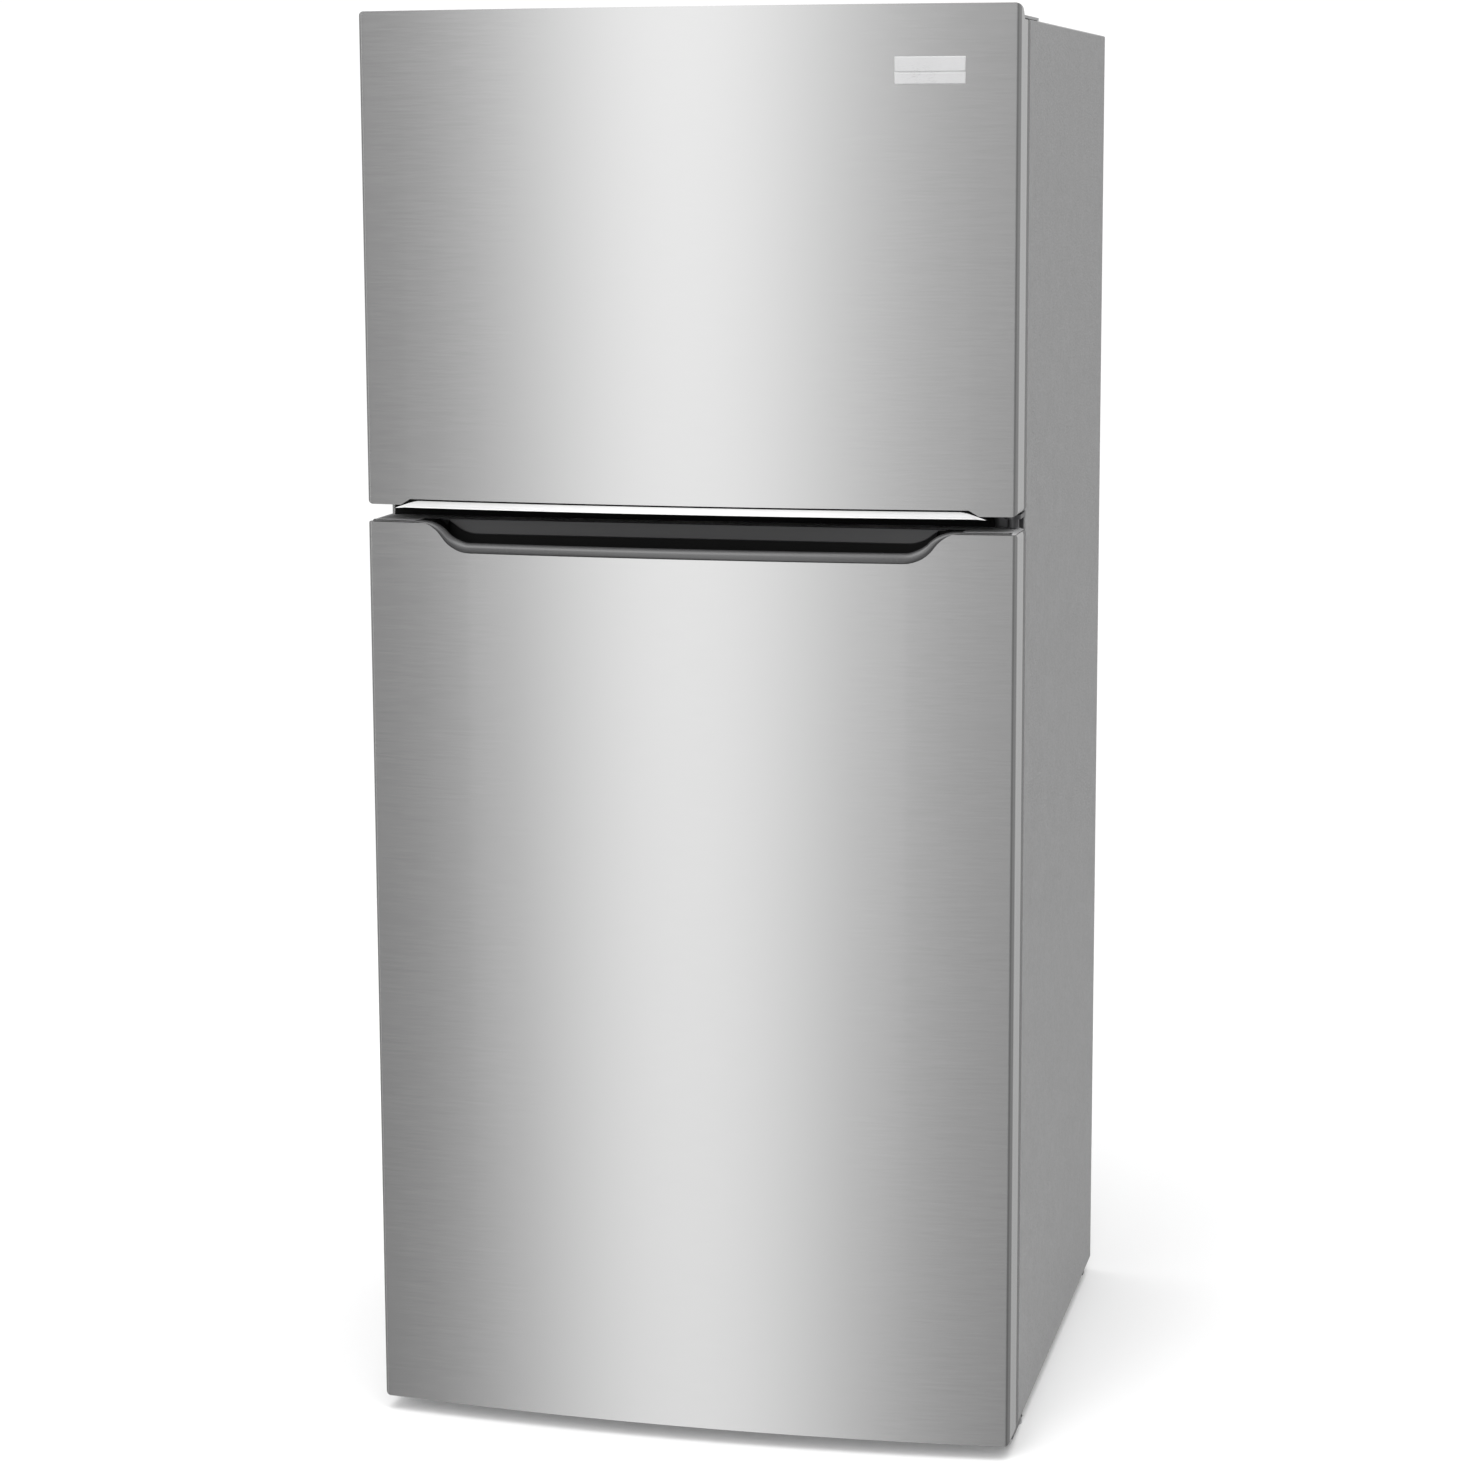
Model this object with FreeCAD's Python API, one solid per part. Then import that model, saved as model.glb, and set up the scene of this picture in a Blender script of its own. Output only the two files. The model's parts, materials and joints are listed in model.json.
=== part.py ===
"""Top freezer refrigerator: cabinet, two bowed doors, shelves, drawers and cooling parts.

Millimetres. X to the viewer's right, Y to the rear, Z up.
The origin is on the floor, under the middle of the whole refrigerator.
"""

import FreeCAD, Part
import math
import os
from FreeCAD import Vector

# ---------------------------------------------------------------- driving dimensions

# Cabinet
cabinet_width = 756.0
cabinet_depth = 637.0
cabinet_height = 1629.0
floor_gap = 18.0            # underside of the cabinet and of the lower door, above the floor
sheet = 1.0                 # steel of the wrapper, the back and the door skins
wrapper_flange = 32.0       # width of the wrapper's front edge, turned inwards
back_recess = 3.0           # rear sheet ahead of the wrapper's rear edges
bend_radius = 2.0           # outside of the wrapper's bends
base_height = 38.0          # height of the base frame's rails
base_sheet = 2.0            # steel of the base frame
rail_width = 34.0
crossbar_depth = 24.0
liner_sheet = 2.0           # plastic of the liners
liner_radius = 14.0         # inside corners of the compartments

# Compartments
freezer_wall = 58.0         # outside of the cabinet to the inside of the freezer
fridge_wall = 46.0          # outside of the cabinet to the inside of the fresh food space
divider_height = 76.0       # between the two compartments
divider_lip = 2.0           # liner edge seen above and below the divider rail
machine_depth = 180.0       # compressor space, at the bottom rear
machine_height = 215.0
step_wall = 38.0            # insulation over and in front of the compressor space

# Doors
door_overhang = 3.0         # door beyond the cabinet, at each side
door_side = 65.0            # thickness at the door's side edges
door_bow = 22.0             # how far the middle of the front stands ahead of its sides
gasket_gap = 12.0           # door back to cabinet front
door_rise = 15.0            # top of the freezer door above the cabinet's top
door_split = 18.0           # between the two doors
freezer_door_height = 562.0
door_corner = 6.0           # radius of the upright front edges
face_corner = 7.0           # radius of a door's four corners, seen from the front
over = 1.0                  # how far a cutting shape passes its target
least_radius = 0.1          # a corner under this is left sharp
door_return = 16.0          # skin turned in behind the door
cap_thick = 4.0             # end caps of the doors
cap_edge = 2.5              # edge of the lower door's top cap, seen above its skin
parapet_depth = 8.0         # flat top edge behind the freezer door's front corners
parapet_back = 25.0         # from the front corners to the foot of the slope behind that edge
dyke_reach = 40.0           # door liner's ridges, into the compartments
dyke_width = 34.0
dyke_gap = 16.0             # ridge to compartment wall
dyke_radius = 10.0
liner_margin = 3.0          # door liner inside the door's edges
gasket_inset = 12.0         # door edge to gasket
gasket_width = 16.0
soft_gap = 0.3              # round the gaskets

# Handle of the lower door: a pocket with a rolled lip
pocket_margin = 58.0        # door's side to the pocket, at the door's top edge
pocket_run = 69.0           # width of the S-curve at each end
pocket_drop = 36.0          # top edge to the lower side of the lip
lip_height = 11.0
lip_thick = 9.0
pocket_reach = 45.0         # front of the door, at its middle, to the pocket's back wall
pocket_well = 62.0          # depth of the pocket below the door's top edge
pocket_wall = 3.0

# Grip of the freezer door: a bright bar along its bottom edge
bar_margin = 35.0           # door's side to the bar's point
bar_point = 20.0            # how far the bar's ends slant
bar_rise = 6.0              # above the door's bottom edge
bar_drop = 4.0              # below the door's bottom edge
bar_thick = 7.0
bar_seam = 1.0              # shadow gap between the bar and the skin
bar_inset = 0.5             # bar behind the skin's face
grip_depth = 22.0           # finger trough behind the bar
grip_width = 26.0

# Plain plate near the freezer door's top corner
plate_inset = 60.0          # door's side to the plate
plate_width = 78.0
plate_height = 30.0
plate_drop = 57.0           # door top to the plate's top edge
plate_thick = 1.2
plate_film = 0.05           # adhesive behind the plate
plate_groove = 1.4
plate_groove_drop = 17.0    # plate's top edge to its groove

# Hinges
hinge_inset = 12.0          # door's side to the hinge axis
hinge_reach = 30.0          # cabinet front to the hinge axis
pin_radius = 4.0
pin_length = 20.0
running_gap = 0.05          # radial, pins and shafts in their bores
arm_half = 10.0             # half width of a hinge arm
top_hinge_plate = 3.0
centre_hinge_plate = 5.0
bottom_hinge_plate = 5.0
hinge_gap = 1.5             # hinge plate to the door above or below it
hinge_clear = 2.0           # doors to the hinge plates beside them
screw_radius = 2.5
screw_head_radius = 5.0
screw_head = 3.0
screw_length = 14.0
screw_gap = 0.2
top_plate_reach = 66.0      # cabinet front to the rear end of the top hinge's plate
top_plate_width = 64.0      # hinge axis to the inner end of the top hinge's plate
flange_width = 46.0         # the same for the centre and bottom hinges
bottom_plate_reach = 26.0
hood_margin = 8.0           # top hinge's hood past its plate
hood_inset = 14.0           # hinge axis to the hood
hood_wall = 2.0
hood_radius = 5.0

# Feet and rollers
foot_radius = 16.0
foot_height = 8.0           # disc, hexagon and nut alike
thread_radius = 5.0
foot_setback = 50.0         # cabinet front to the foot
roller_radius = 18.0
roller_width = 22.0
roller_setback = 60.0       # cabinet rear to the roller's axle
axle_radius = 4.0
hexagon_radius = 8.5        # across the corners, halved

# Shelves and drawers
shelf_setback = 135.0       # cabinet front to the shelves
shelf_thick = 14.0
glass_thick = 4.0
shelf_rim = 18.0
shelf_side_gap = 6.0
shelf_rear_gap = 2.0        # shelves to the air duct, in front of it or under it
shelf_radius = 6.0
track_width = 16.0
track_depth = 8.0
track_pitch = 24.0
track_slot = 10.0           # height of each slot
track_slot_half = 2.0
track_inset = 46.0          # compartment's wall to the middle of a track
track_below = 70.0          # track beneath the lowest shelf
track_above = 110.0         # track beyond the highest shelf
arm_thick = 2.5
arm_drop = 34.0
ledge = 9.0                 # ribs on the liner's walls
ledge_height = 6.0
drawer_setback = 128.0      # cabinet front to the drawers
drawer_wall = 2.5
drawer_radius = 14.0
crisper_height = 212.0
crisper_gap = 4.0
drawer_rest = 0.3
drawer_face = 8.0           # thickness of the crispers' fronts
drawer_face_radius = 5.0
grip_reach = 14.0           # drawer grips ahead of the fronts
grip_height = 16.0
grip_wall = 3.0
crisper_grip_margin = 40.0
deli_grip_half = 140.0
cover_thick = 18.0
cover_rim = 24.0
cover_setback = 132.0       # cabinet front to the drawer cover
deli_height = 118.0
deli_depth = 360.0
deli_gap = 4.0              # shelf arms to the top of the drawer under them
drawer_side_gap = 1.0
freezer_shelf_height = 232.0
freezer_shelf_setback = 120.0
wire_shelf_gap = 2.0
wire_radius = 3.0
wire_pitch = 32.0

# Door bins
bin_reach = 95.0            # cabinet front to the bins' faces
bin_wall = 2.5
bin_radius = 16.0
bin_gap = 0.5
freezer_bin_rise = 60.0     # compartment's floor to the lower bin
freezer_bin_height = 92.0
low_bin_rise = 62.0         # the same for the lowest bin of the lower door
low_bin_height = 150.0
fridge_bin_height = 105.0
dairy_reach = 78.0
dairy_height = 92.0
dairy_top_space = 92.0      # lid's swing, under the door liner's top ridge
dairy_pin = 3.0
lid_rib = 1.0               # half the web of the lid, and its barrel's wall
dairy_wall = 2.5
dairy_lip = 10.0            # housing's front edge under the lid
dairy_lid_radius = 12.0

# Controls and lamp
control_setback = 152.0
control_depth = 190.0
control_height = 62.0
control_wall = 3.0
control_radius = 8.0
dial_radius = 24.0
dial_depth = 16.0
dial_x = 96.0
dial_shaft = 3.0
dial_grip_half = 5.0
dial_grip_radius = 4.0
dial_face = 4.0             # plastic in front of the shaft
dial_gap = 1.0
lamp_width = 180.0
lamp_depth = 90.0
lamp_drop = 10.0
lamp_wall = 2.5
duct_width = 120.0
duct_depth = 22.0
duct_radius = 10.0
vent_pitch = 84.0
vent_height = 8.0
vent_deep = 6.0
slider_width = 34.0
slider_height = 10.0
slider_depth = 7.0
slider_slot = 80.0
slider_tab = 8.0
slider_tab_reach = 5.0
plunger_radius = 4.0
plunger_length = 34.0
plunger_drop = 21.0         # fresh food ceiling to the plunger
plunger_inset = 7.0         # compartment wall to the plunger

# Cooling parts
evaporator_space = 70.0     # cover to the freezer's back wall
evaporator_height = 150.0
coil_tube = 3.5
coil_fin = 1.0
coil_end = 8.0              # tube beyond the first and last fins
evaporator_depth = 52.0
evaporator_rise = 26.0      # freezer floor to the coil
evaporator_margin = 60.0    # freezer wall to the coil's ends
panel_thick = 2.5           # freezer's rear cover
panel_gap = 1.0
panel_slot = 7.0
panel_slot_length = 120.0
panel_slot_x = 170.0
panel_slot_rows = 4
return_slots = 11
return_slot_length = 36.0
grille_rings = 3
grille_step = 16.0
fan_behind_panel = 6.0
fan_radius = 56.0
fan_hub = 18.0
fan_depth = 20.0
fan_ring = 4.0
fan_tip_gap = 5.0
fan_shaft = 2.5
fan_blades = 5
blade_half = 14.0           # half the width of a blade
blade_thick = 1.6
blade_pitch = 28.0          # degrees
motor_gap = 2.0
motor_radius = 22.0
motor_length = 24.0
strut_half = 4.0
fan_space = 170.0           # middle of the compressor to the condenser fan
condenser_fan_rise = 14.0   # base frame to the fan's ring
bracket_margin = 8.0
compressor_radius = 74.0
compressor_body = 140.0
compressor_inset = 178.0    # cabinet's side to the middle of the compressor
compressor_dome = 34.0
compressor_seam = 80.0      # foot plate to the welded seam
seam_rim = 2.5
seam_height = 5.0
compressor_foot = 3.0
foot_half_x = 96.0
foot_half_y = 62.0
grommet_x = 84.0
grommet_y = 50.0
grommet_neck = 4.2
terminal_box = (16.0, 24.0, 50.0, 54.0)   # half depth, half width, rise and height
stub_radius = 4.0
stub_places = ((-30.0, 96.0), (0.0, 112.0), (30.0, 96.0))
grommet_radius = 9.0
grommet_height = 10.0
coil_rise = 24.0            # base frame to the condenser's lowest fins
condenser_inset = 58.0      # cabinet's side to the condenser
condenser_gap = 60.0        # condenser fan to the condenser
coil_margin = 14.0          # round the condenser
gland_radius = 9.0
gland_length = 14.0
gland_flange = 4.0          # beyond the gland's body
gland_flange_thick = 2.5
cord_hole = 4.5             # radius
cord_inset = 78.0           # cabinet's side to the cord's hole
cord_rise = 30.0            # base frame to the cord's hole
louvre_length = 120.0
louvre_height = 6.0
louvre_spacing = 220.0
louvre_rows = 7

# ---------------------------------------------------------------- worked-out places

overall_depth = cabinet_depth + gasket_gap + door_side + door_bow
rear = overall_depth / 2
front = rear - cabinet_depth
side = cabinet_width / 2
bottom = floor_gap
top = floor_gap + cabinet_height
base_top = bottom + base_height

door_half = side + door_overhang
door_back = front - gasket_gap
skin_back = door_back - liner_sheet
door_edge = door_back - door_side
pocket_half = door_half - pocket_margin
pocket_floor_half = pocket_half - pocket_run
bar_half = door_half - bar_margin
bar_top_half = bar_half - bar_point
plate_left = door_half - plate_inset - plate_width
bow_radius = (door_half ** 2 + door_bow ** 2) / (2 * door_bow)
bow_centre = door_edge - door_bow + bow_radius

freezer_door_top = top + door_rise
freezer_door_bottom = freezer_door_top - freezer_door_height
fridge_door_top = freezer_door_bottom - door_split
fridge_door_bottom = bottom
freezer_door_low_top = top - hinge_clear

divider_middle = (freezer_door_bottom + fridge_door_top) / 2
freezer_floor = divider_middle + divider_height / 2
fridge_ceiling = divider_middle - divider_height / 2
freezer_ceiling = top - freezer_wall
fridge_floor = base_top + fridge_wall
freezer_half = side - freezer_wall
fridge_half = side - fridge_wall
freezer_rear = rear - freezer_wall
fridge_rear = rear - fridge_wall
machine_front = rear - machine_depth
machine_top = bottom + machine_height
step_front = machine_front - step_wall
step_top = machine_top + step_wall

hinge_x = door_half - hinge_inset
hinge_y = front - hinge_reach
rail_x = side - sheet - rail_width / 2
foot_y = front + foot_setback
roller_y = rear - roller_setback

track_x = fridge_half - track_inset
compressor_x = side - compressor_inset
condenser_fan_x = compressor_x - fan_space
cord_x = side - cord_inset

control_bottom = fridge_ceiling - control_height
cord_z = base_top + cord_rise
crisper_top = fridge_floor + drawer_rest + crisper_height
cover_bottom = crisper_top + crisper_gap
cover_top = cover_bottom + cover_thick
shelf_front = front + shelf_setback
# the drawer cover, the full-width drawer, the two shelves and the control box leave three equal spaces
deli_stack = deli_height + deli_gap + arm_drop + shelf_thick
shelf_space = (control_bottom - cover_top - deli_stack - shelf_thick) / 3
shelf_tops = [cover_top + shelf_space + deli_stack, control_bottom - shelf_space]
shelf_back = fridge_rear - duct_depth - shelf_rear_gap
track_front = fridge_rear - track_depth
deli_top = shelf_tops[0] - shelf_thick - arm_drop - deli_gap
evaporator_front = freezer_rear - evaporator_space

# each bin as its rise above the compartment's floor and its height, with equal spaces above the lowest
dairy_top = fridge_ceiling - dyke_gap - dyke_width - dairy_top_space
low_bin_top = low_bin_rise + low_bin_height
fridge_bin_space = (dairy_top - dairy_height - fridge_floor - low_bin_top - 2 * fridge_bin_height) / 3
second_rise = low_bin_top + fridge_bin_space
fridge_bins = [(low_bin_rise, low_bin_height), (second_rise, fridge_bin_height),
               (second_rise + fridge_bin_height + fridge_bin_space, fridge_bin_height)]
freezer_bin_top = freezer_bin_rise + freezer_bin_height
freezer_inside = freezer_ceiling - freezer_floor - dyke_gap - dyke_width
freezer_bin_space = (freezer_inside - freezer_bin_top - freezer_bin_height) / 2
freezer_bins = [(freezer_bin_rise, freezer_bin_height),
                (freezer_bin_top + freezer_bin_space, freezer_bin_height)]


# ---------------------------------------------------------------- helpers

def box(x0, x1, y0, y1, z0, z1):
    return Part.makeBox(x1 - x0, y1 - y0, z1 - z0, Vector(x0, y0, z0))


def cylinder(start, direction, radius, length):
    return Part.makeCylinder(radius, length, Vector(*start), Vector(*direction))


def fuse(shapes):
    shapes = list(shapes)
    if len(shapes) == 1:
        return shapes[0]
    return shapes[0].multiFuse(shapes[1:]).removeSplitter()


def edges_along(shape, axis):
    """The shape's straight edges that run along axis, a unit vector."""
    found = []
    for edge in shape.Edges:
        if isinstance(edge.Curve, Part.Line) and abs(edge.Curve.Direction.dot(axis)) > 0.999:
            found.append(edge)
    return found


def rounded_box(x0, x1, y0, y1, z0, z1, radius, axis=(0, 0, 1)):
    """A box with its four edges along axis rounded."""
    shape = box(x0, x1, y0, y1, z0, z1)
    return shape.makeFillet(radius, edges_along(shape, Vector(*axis)))


def prism(points, direction):
    """A closed polygon of points, pushed along direction."""
    corners = [Vector(*p) for p in points]
    return Part.Face(Part.makePolygon(corners + corners[:1])).extrude(Vector(*direction))


def mirrored(shape):
    """The shape's twin on the other side of the middle plane."""
    return shape.mirror(Vector(0, 0, 0), Vector(1, 0, 0))


def save(name, *solids):
    """Writes one node. Several separate solids in one node make a group."""
    shape = solids[0] if len(solids) == 1 else Part.makeCompound(list(solids))
    shape.exportStep(os.path.join("parts", name + ".step"))


# ---------------------------------------------------------------- cabinet

def cabinet_wrapper():
    """Side, top and side in one bent sheet, with its front edges turned inwards."""
    outside = box(-side, side, front, rear, bottom, top)
    bends = [e for e in outside.Edges
             if e.CenterOfMass.y < front + over and e.CenterOfMass.z > bottom + over
             or abs(e.CenterOfMass.x) > side - over and e.CenterOfMass.z > top - over]
    outside = outside.makeFillet(bend_radius, bends)
    inside = box(-side + sheet, side - sheet, front + sheet, rear + sheet, bottom - sheet, top - sheet)
    window_half = side - wrapper_flange
    window = box(-window_half, window_half, front - sheet, front + 2 * sheet, bottom - sheet,
                 top - wrapper_flange)
    shell = outside.cut(inside).cut(window)
    for cutter in top_screw_holes():
        shell = shell.cut(cutter)
    return shell


def back_panel():
    y1 = rear - back_recess
    return box(-side + sheet, side - sheet, y1 - sheet, y1, machine_top + sheet, top - sheet)


def compartment(half, y_rear, z_floor, z_ceiling, grow):
    """The space of one compartment, with every wall moved outwards by grow."""
    return rounded_box(-half - grow, half + grow, front, y_rear + grow, z_floor - grow,
                       z_ceiling + grow, liner_radius, (0, 1, 0))


def freezer_liner():
    shell = compartment(freezer_half, freezer_rear, freezer_floor, freezer_ceiling, liner_sheet)
    flange_half = side - wrapper_flange
    flange = box(-flange_half, flange_half, front, front + liner_sheet,
                 freezer_floor - divider_lip, top - wrapper_flange)
    space = compartment(freezer_half, freezer_rear, freezer_floor, freezer_ceiling, 0)
    space = space.fuse(box(-freezer_half + liner_radius, freezer_half - liner_radius,
                           front - liner_sheet, front, freezer_floor, freezer_ceiling))
    liner = fuse([shell, flange]).cut(space)
    return fuse([liner] + list(freezer_ledges()))


def freezer_ledges():
    """Ribs on both side walls that carry the wire shelf."""
    z1 = freezer_floor + freezer_shelf_height - wire_radius
    y0 = front + freezer_shelf_setback
    rib = box(freezer_half - ledge, freezer_half, y0, evaporator_front, z1 - ledge_height, z1)
    return rib, mirrored(rib)


def fridge_space(grow):
    """Fresh food space with its step over the compressor, every wall moved outwards by grow."""
    shape = compartment(fridge_half, fridge_rear, fridge_floor, fridge_ceiling, grow)
    step = box(-side, side, step_front + grow, rear, bottom, step_top - grow)
    return shape.cut(step)


def fridge_liner():
    flange_half = side - wrapper_flange
    flange = box(-flange_half, flange_half, front, front + liner_sheet, base_top,
                 fridge_ceiling + divider_lip)
    space = fridge_space(0)
    mouth = box(-fridge_half + liner_radius, fridge_half - liner_radius, front - liner_sheet, front,
                fridge_floor, fridge_ceiling)
    liner = fuse([fridge_space(liner_sheet), flange]).cut(space.fuse(mouth))
    liner = fuse([liner] + list(fridge_ledges()))
    return liner.cut(plunger_bore())


def fridge_ledges():
    """Ribs on both side walls, for the drawer cover and for the full-width drawer."""
    ribs = []
    for z1, y0, y1 in (
        (cover_bottom, front + drawer_setback, fridge_rear),
        (deli_top - liner_sheet - drawer_rest, front + drawer_setback,
         front + drawer_setback + deli_depth),
    ):
        rib = box(fridge_half - ledge, fridge_half, y0, y1, z1 - ledge_height, z1)
        ribs += [rib, mirrored(rib)]
    return ribs


def plunger_bore():
    x = -fridge_half - plunger_inset
    z = fridge_ceiling - plunger_drop
    return cylinder((x, front - liner_sheet, z), (0, 1, 0), plunger_radius + screw_gap,
                    plunger_length)


def divider_rail():
    half = side - wrapper_flange
    return box(-half, half, front, front + liner_sheet, fridge_ceiling + divider_lip,
               freezer_floor - divider_lip)


def cabinet_foam():
    """Insulation between the wrapper and the liners, as the straight blocks that it is cast in."""
    y0 = front + liner_sheet
    y1 = rear - back_recess - sheet
    x1 = side - sheet
    freezer_out = freezer_half + liner_sheet
    fridge_out = fridge_half + liner_sheet
    upper = freezer_floor - liner_sheet
    lower = fridge_ceiling + liner_sheet
    ceiling = freezer_ceiling + liner_sheet
    roof = top - sheet
    deck = machine_top + sheet
    wall_front = machine_front - sheet
    floor_low = fridge_floor - liner_sheet
    step_out = step_front + liner_sheet
    shoulder = step_top - liner_sheet
    freezer_wall_block = box(freezer_out, x1, y0, y1, upper, roof)
    fridge_wall_block = box(fridge_out, x1, y0, wall_front, base_top, lower)
    fridge_rear_block = box(fridge_out, x1, wall_front, y1, deck, lower)
    roof_block = box(-freezer_out, freezer_out, y0, y1, ceiling, roof)
    blocks = [
        freezer_wall_block,
        mirrored(freezer_wall_block),
        roof_block,
        box(-freezer_out, freezer_out, freezer_rear + liner_sheet, y1, upper, ceiling),
        box(-x1, x1, y0, y1, lower, upper),
        fridge_wall_block,
        mirrored(fridge_wall_block),
        fridge_rear_block,
        mirrored(fridge_rear_block),
        box(-fridge_out, fridge_out, fridge_rear + liner_sheet, y1, shoulder, lower),
        box(-fridge_out, fridge_out, step_out, y1, deck, shoulder),
        box(-fridge_out, fridge_out, step_out, wall_front, base_top, deck),
        box(-fridge_out, fridge_out, y0, step_out, base_top, floor_low),
    ]
    cutters = top_screw_holes() + centre_screw_holes() + [plunger_bore()]
    return [drilled(block, cutters) for block in blocks]


def drilled(shape, cutters):
    """The shape with the cutters that meet it taken away."""
    for cutter in cutters:
        if shape.common(cutter).Volume > 0:
            shape = shape.cut(cutter)
    return shape


# ---------------------------------------------------------------- base

def side_rail():
    """Right-hand channel, open downwards, with a nut for the foot and a riveted roller axle."""
    x0 = rail_x - rail_width / 2
    x1 = rail_x + rail_width / 2
    y0 = front + crossbar_depth
    y1 = rear - sheet
    channel = box(x0, x1, y0, y1, bottom, base_top)
    hollow = box(x0 + base_sheet, x1 - base_sheet, y0 - base_sheet, y1 + base_sheet,
                 bottom - base_sheet, base_top - base_sheet)
    nut_low = base_top - base_sheet - foot_height
    nut = cylinder((rail_x, foot_y, nut_low), (0, 0, 1), 2 * thread_radius, foot_height)
    axle = cylinder((x0, roller_y, roller_radius), (1, 0, 0), axle_radius, rail_width)
    ear_height = roller_radius + axle_radius + base_sheet
    ear_depth = 2 * (axle_radius + base_sheet)
    ears = box(x0, x1, roller_y - ear_depth / 2, roller_y + ear_depth / 2,
               roller_radius - axle_radius - base_sheet, ear_height)
    rail = fuse([channel.cut(hollow), nut, ears.cut(hollow_between(x0, x1)), axle])
    bore = cylinder((rail_x, foot_y, bottom), (0, 0, 1), thread_radius + running_gap,
                    base_height - base_sheet)
    return rail.cut(bore)


def hollow_between(x0, x1):
    """The room between a rail's two walls."""
    return box(x0 + base_sheet, x1 - base_sheet, front, rear, 0, base_top)


def base_frame():
    """Crossbar, two rails, floor sheets and the sheets round the compressor space."""
    x1 = side - sheet
    inner = x1 - rail_width
    bar = box(-x1, x1, front + base_sheet, front + crossbar_depth, bottom, base_top)
    room = box(-x1, x1, front + 2 * base_sheet, front + crossbar_depth, bottom + base_sheet,
               base_top - base_sheet)
    bar = fuse([bar.cut(room), box(-side + wrapper_flange, side - wrapper_flange, front,
                                   front + base_sheet, bottom, base_top)])
    rail = side_rail()
    deck_y = machine_front - sheet
    cheek = box(x1 - sheet, x1, machine_front, rear - sheet, base_top, machine_top)
    return [
        bar,
        rail,
        mirrored(rail),
        box(-inner, inner, front + crossbar_depth, deck_y, base_top - base_sheet, base_top),
        box(-inner, inner, deck_y, rear - 2 * base_sheet, base_top - base_sheet, base_top),
        box(-x1, x1, deck_y, machine_front, base_top, machine_top),
        box(-x1, x1, deck_y, rear - sheet, machine_top, machine_top + sheet),
        cheek,
        mirrored(cheek),
    ]


def machine_cover():
    """Rear cover of the compressor space, with louvre slots and the cord's opening."""
    half = side - 2 * base_sheet
    face = rear - base_sheet
    plate = box(-half, half, face, rear, base_top + drawer_rest, machine_top - drawer_rest)
    pitch = 2.5 * louvre_height
    for middle in (-louvre_spacing, 0.0, louvre_spacing):
        for row in range(louvre_rows):
            z = base_top + (row + 2.5) * pitch
            plate = plate.cut(box(middle - louvre_length / 2, middle + louvre_length / 2,
                                  face - base_sheet, rear + base_sheet, z, z + louvre_height))
    hole = cylinder((cord_x, face - base_sheet, cord_z), (0, 1, 0), gland_radius + drawer_rest,
                    3 * base_sheet)
    return plate.cut(hole)


def cord_gland():
    """Bushing in the rear cover. Its bore is where a supply cord would leave."""
    y_face = rear - base_sheet - drawer_rest - gland_flange_thick
    y0 = rear - gland_length
    body = cylinder((cord_x, y0, cord_z), (0, 1, 0), gland_radius, gland_length)
    flange = cylinder((cord_x, y_face, cord_z), (0, 1, 0), gland_radius + gland_flange,
                      gland_flange_thick)
    bore = cylinder((cord_x, y0 - over, cord_z), (0, 1, 0), cord_hole, gland_length + 2 * over)
    return fuse([body, flange]).cut(bore)


def levelling_foot():
    """Right-hand levelling foot: threaded stem, hexagon to turn it by, and a flat disc."""
    disc = cylinder((rail_x, foot_y, 0), (0, 0, 1), foot_radius, foot_height)
    stem = cylinder((rail_x, foot_y, 0), (0, 0, 1), thread_radius, base_top - 2 * base_sheet)
    corners = []
    for corner in range(6):
        angle = math.radians(60 * corner)
        corners.append((rail_x + hexagon_radius * math.cos(angle),
                        foot_y + hexagon_radius * math.sin(angle), foot_height))
    return fuse([disc, stem, prism(corners, (0, 0, foot_height))])


def rear_roller():
    """Right-hand roller, free on its axle."""
    tyre = cylinder((rail_x - roller_width / 2, roller_y, roller_radius), (1, 0, 0), roller_radius,
                    roller_width)
    tyre = tyre.makeChamfer(1.0, [e for e in tyre.Edges if isinstance(e.Curve, Part.Circle)])
    bore = cylinder((rail_x - roller_width, roller_y, roller_radius), (1, 0, 0),
                    axle_radius + running_gap, 2 * roller_width)
    return tyre.cut(bore)


# ---------------------------------------------------------------- hinges

def top_screw_places():
    """A triangle of screws through the top hinge's plate."""
    first = top_plate_reach / 3
    across = top_plate_width - 3 * screw_head_radius
    middle = hood_inset + across / 2 + screw_head_radius
    return [
        (hinge_x - hood_inset - 2 * screw_head_radius, front + first),
        (hinge_x - across, front + first),
        (hinge_x - middle, front + 2.4 * first),
    ]


def centre_screw_places():
    x = hinge_x - flange_width + 2 * screw_head_radius
    spread = 1.5 * screw_head_radius
    return [(x, divider_middle - spread), (x, divider_middle + spread)]


def bottom_screw_places():
    y = front + bottom_plate_reach / 2
    return [(hinge_x, y), (hinge_x - flange_width + 2 * screw_head_radius, y)]


def screw(place, direction, radius_gap=0.0, head=True):
    """A hexagon-washer screw as a head and a shank. direction points out of the head."""
    back = Vector(*direction) * -1
    start = Vector(*place)
    shank = Part.makeCylinder(screw_radius + radius_gap, screw_length, start, back)
    if not head:
        return shank
    cap = Part.makeCylinder(screw_head_radius, screw_head, start, Vector(*direction))
    return fuse([shank, cap])


def top_screw_holes():
    z = top + top_hinge_plate
    return [screw((x, y, z), (0, 0, 1), screw_gap, False) for x, y in top_screw_places()]


def centre_screw_holes():
    y = front - base_sheet
    return [screw((x, y, z), (0, -1, 0), screw_gap, False) for x, z in centre_screw_places()]


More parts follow.
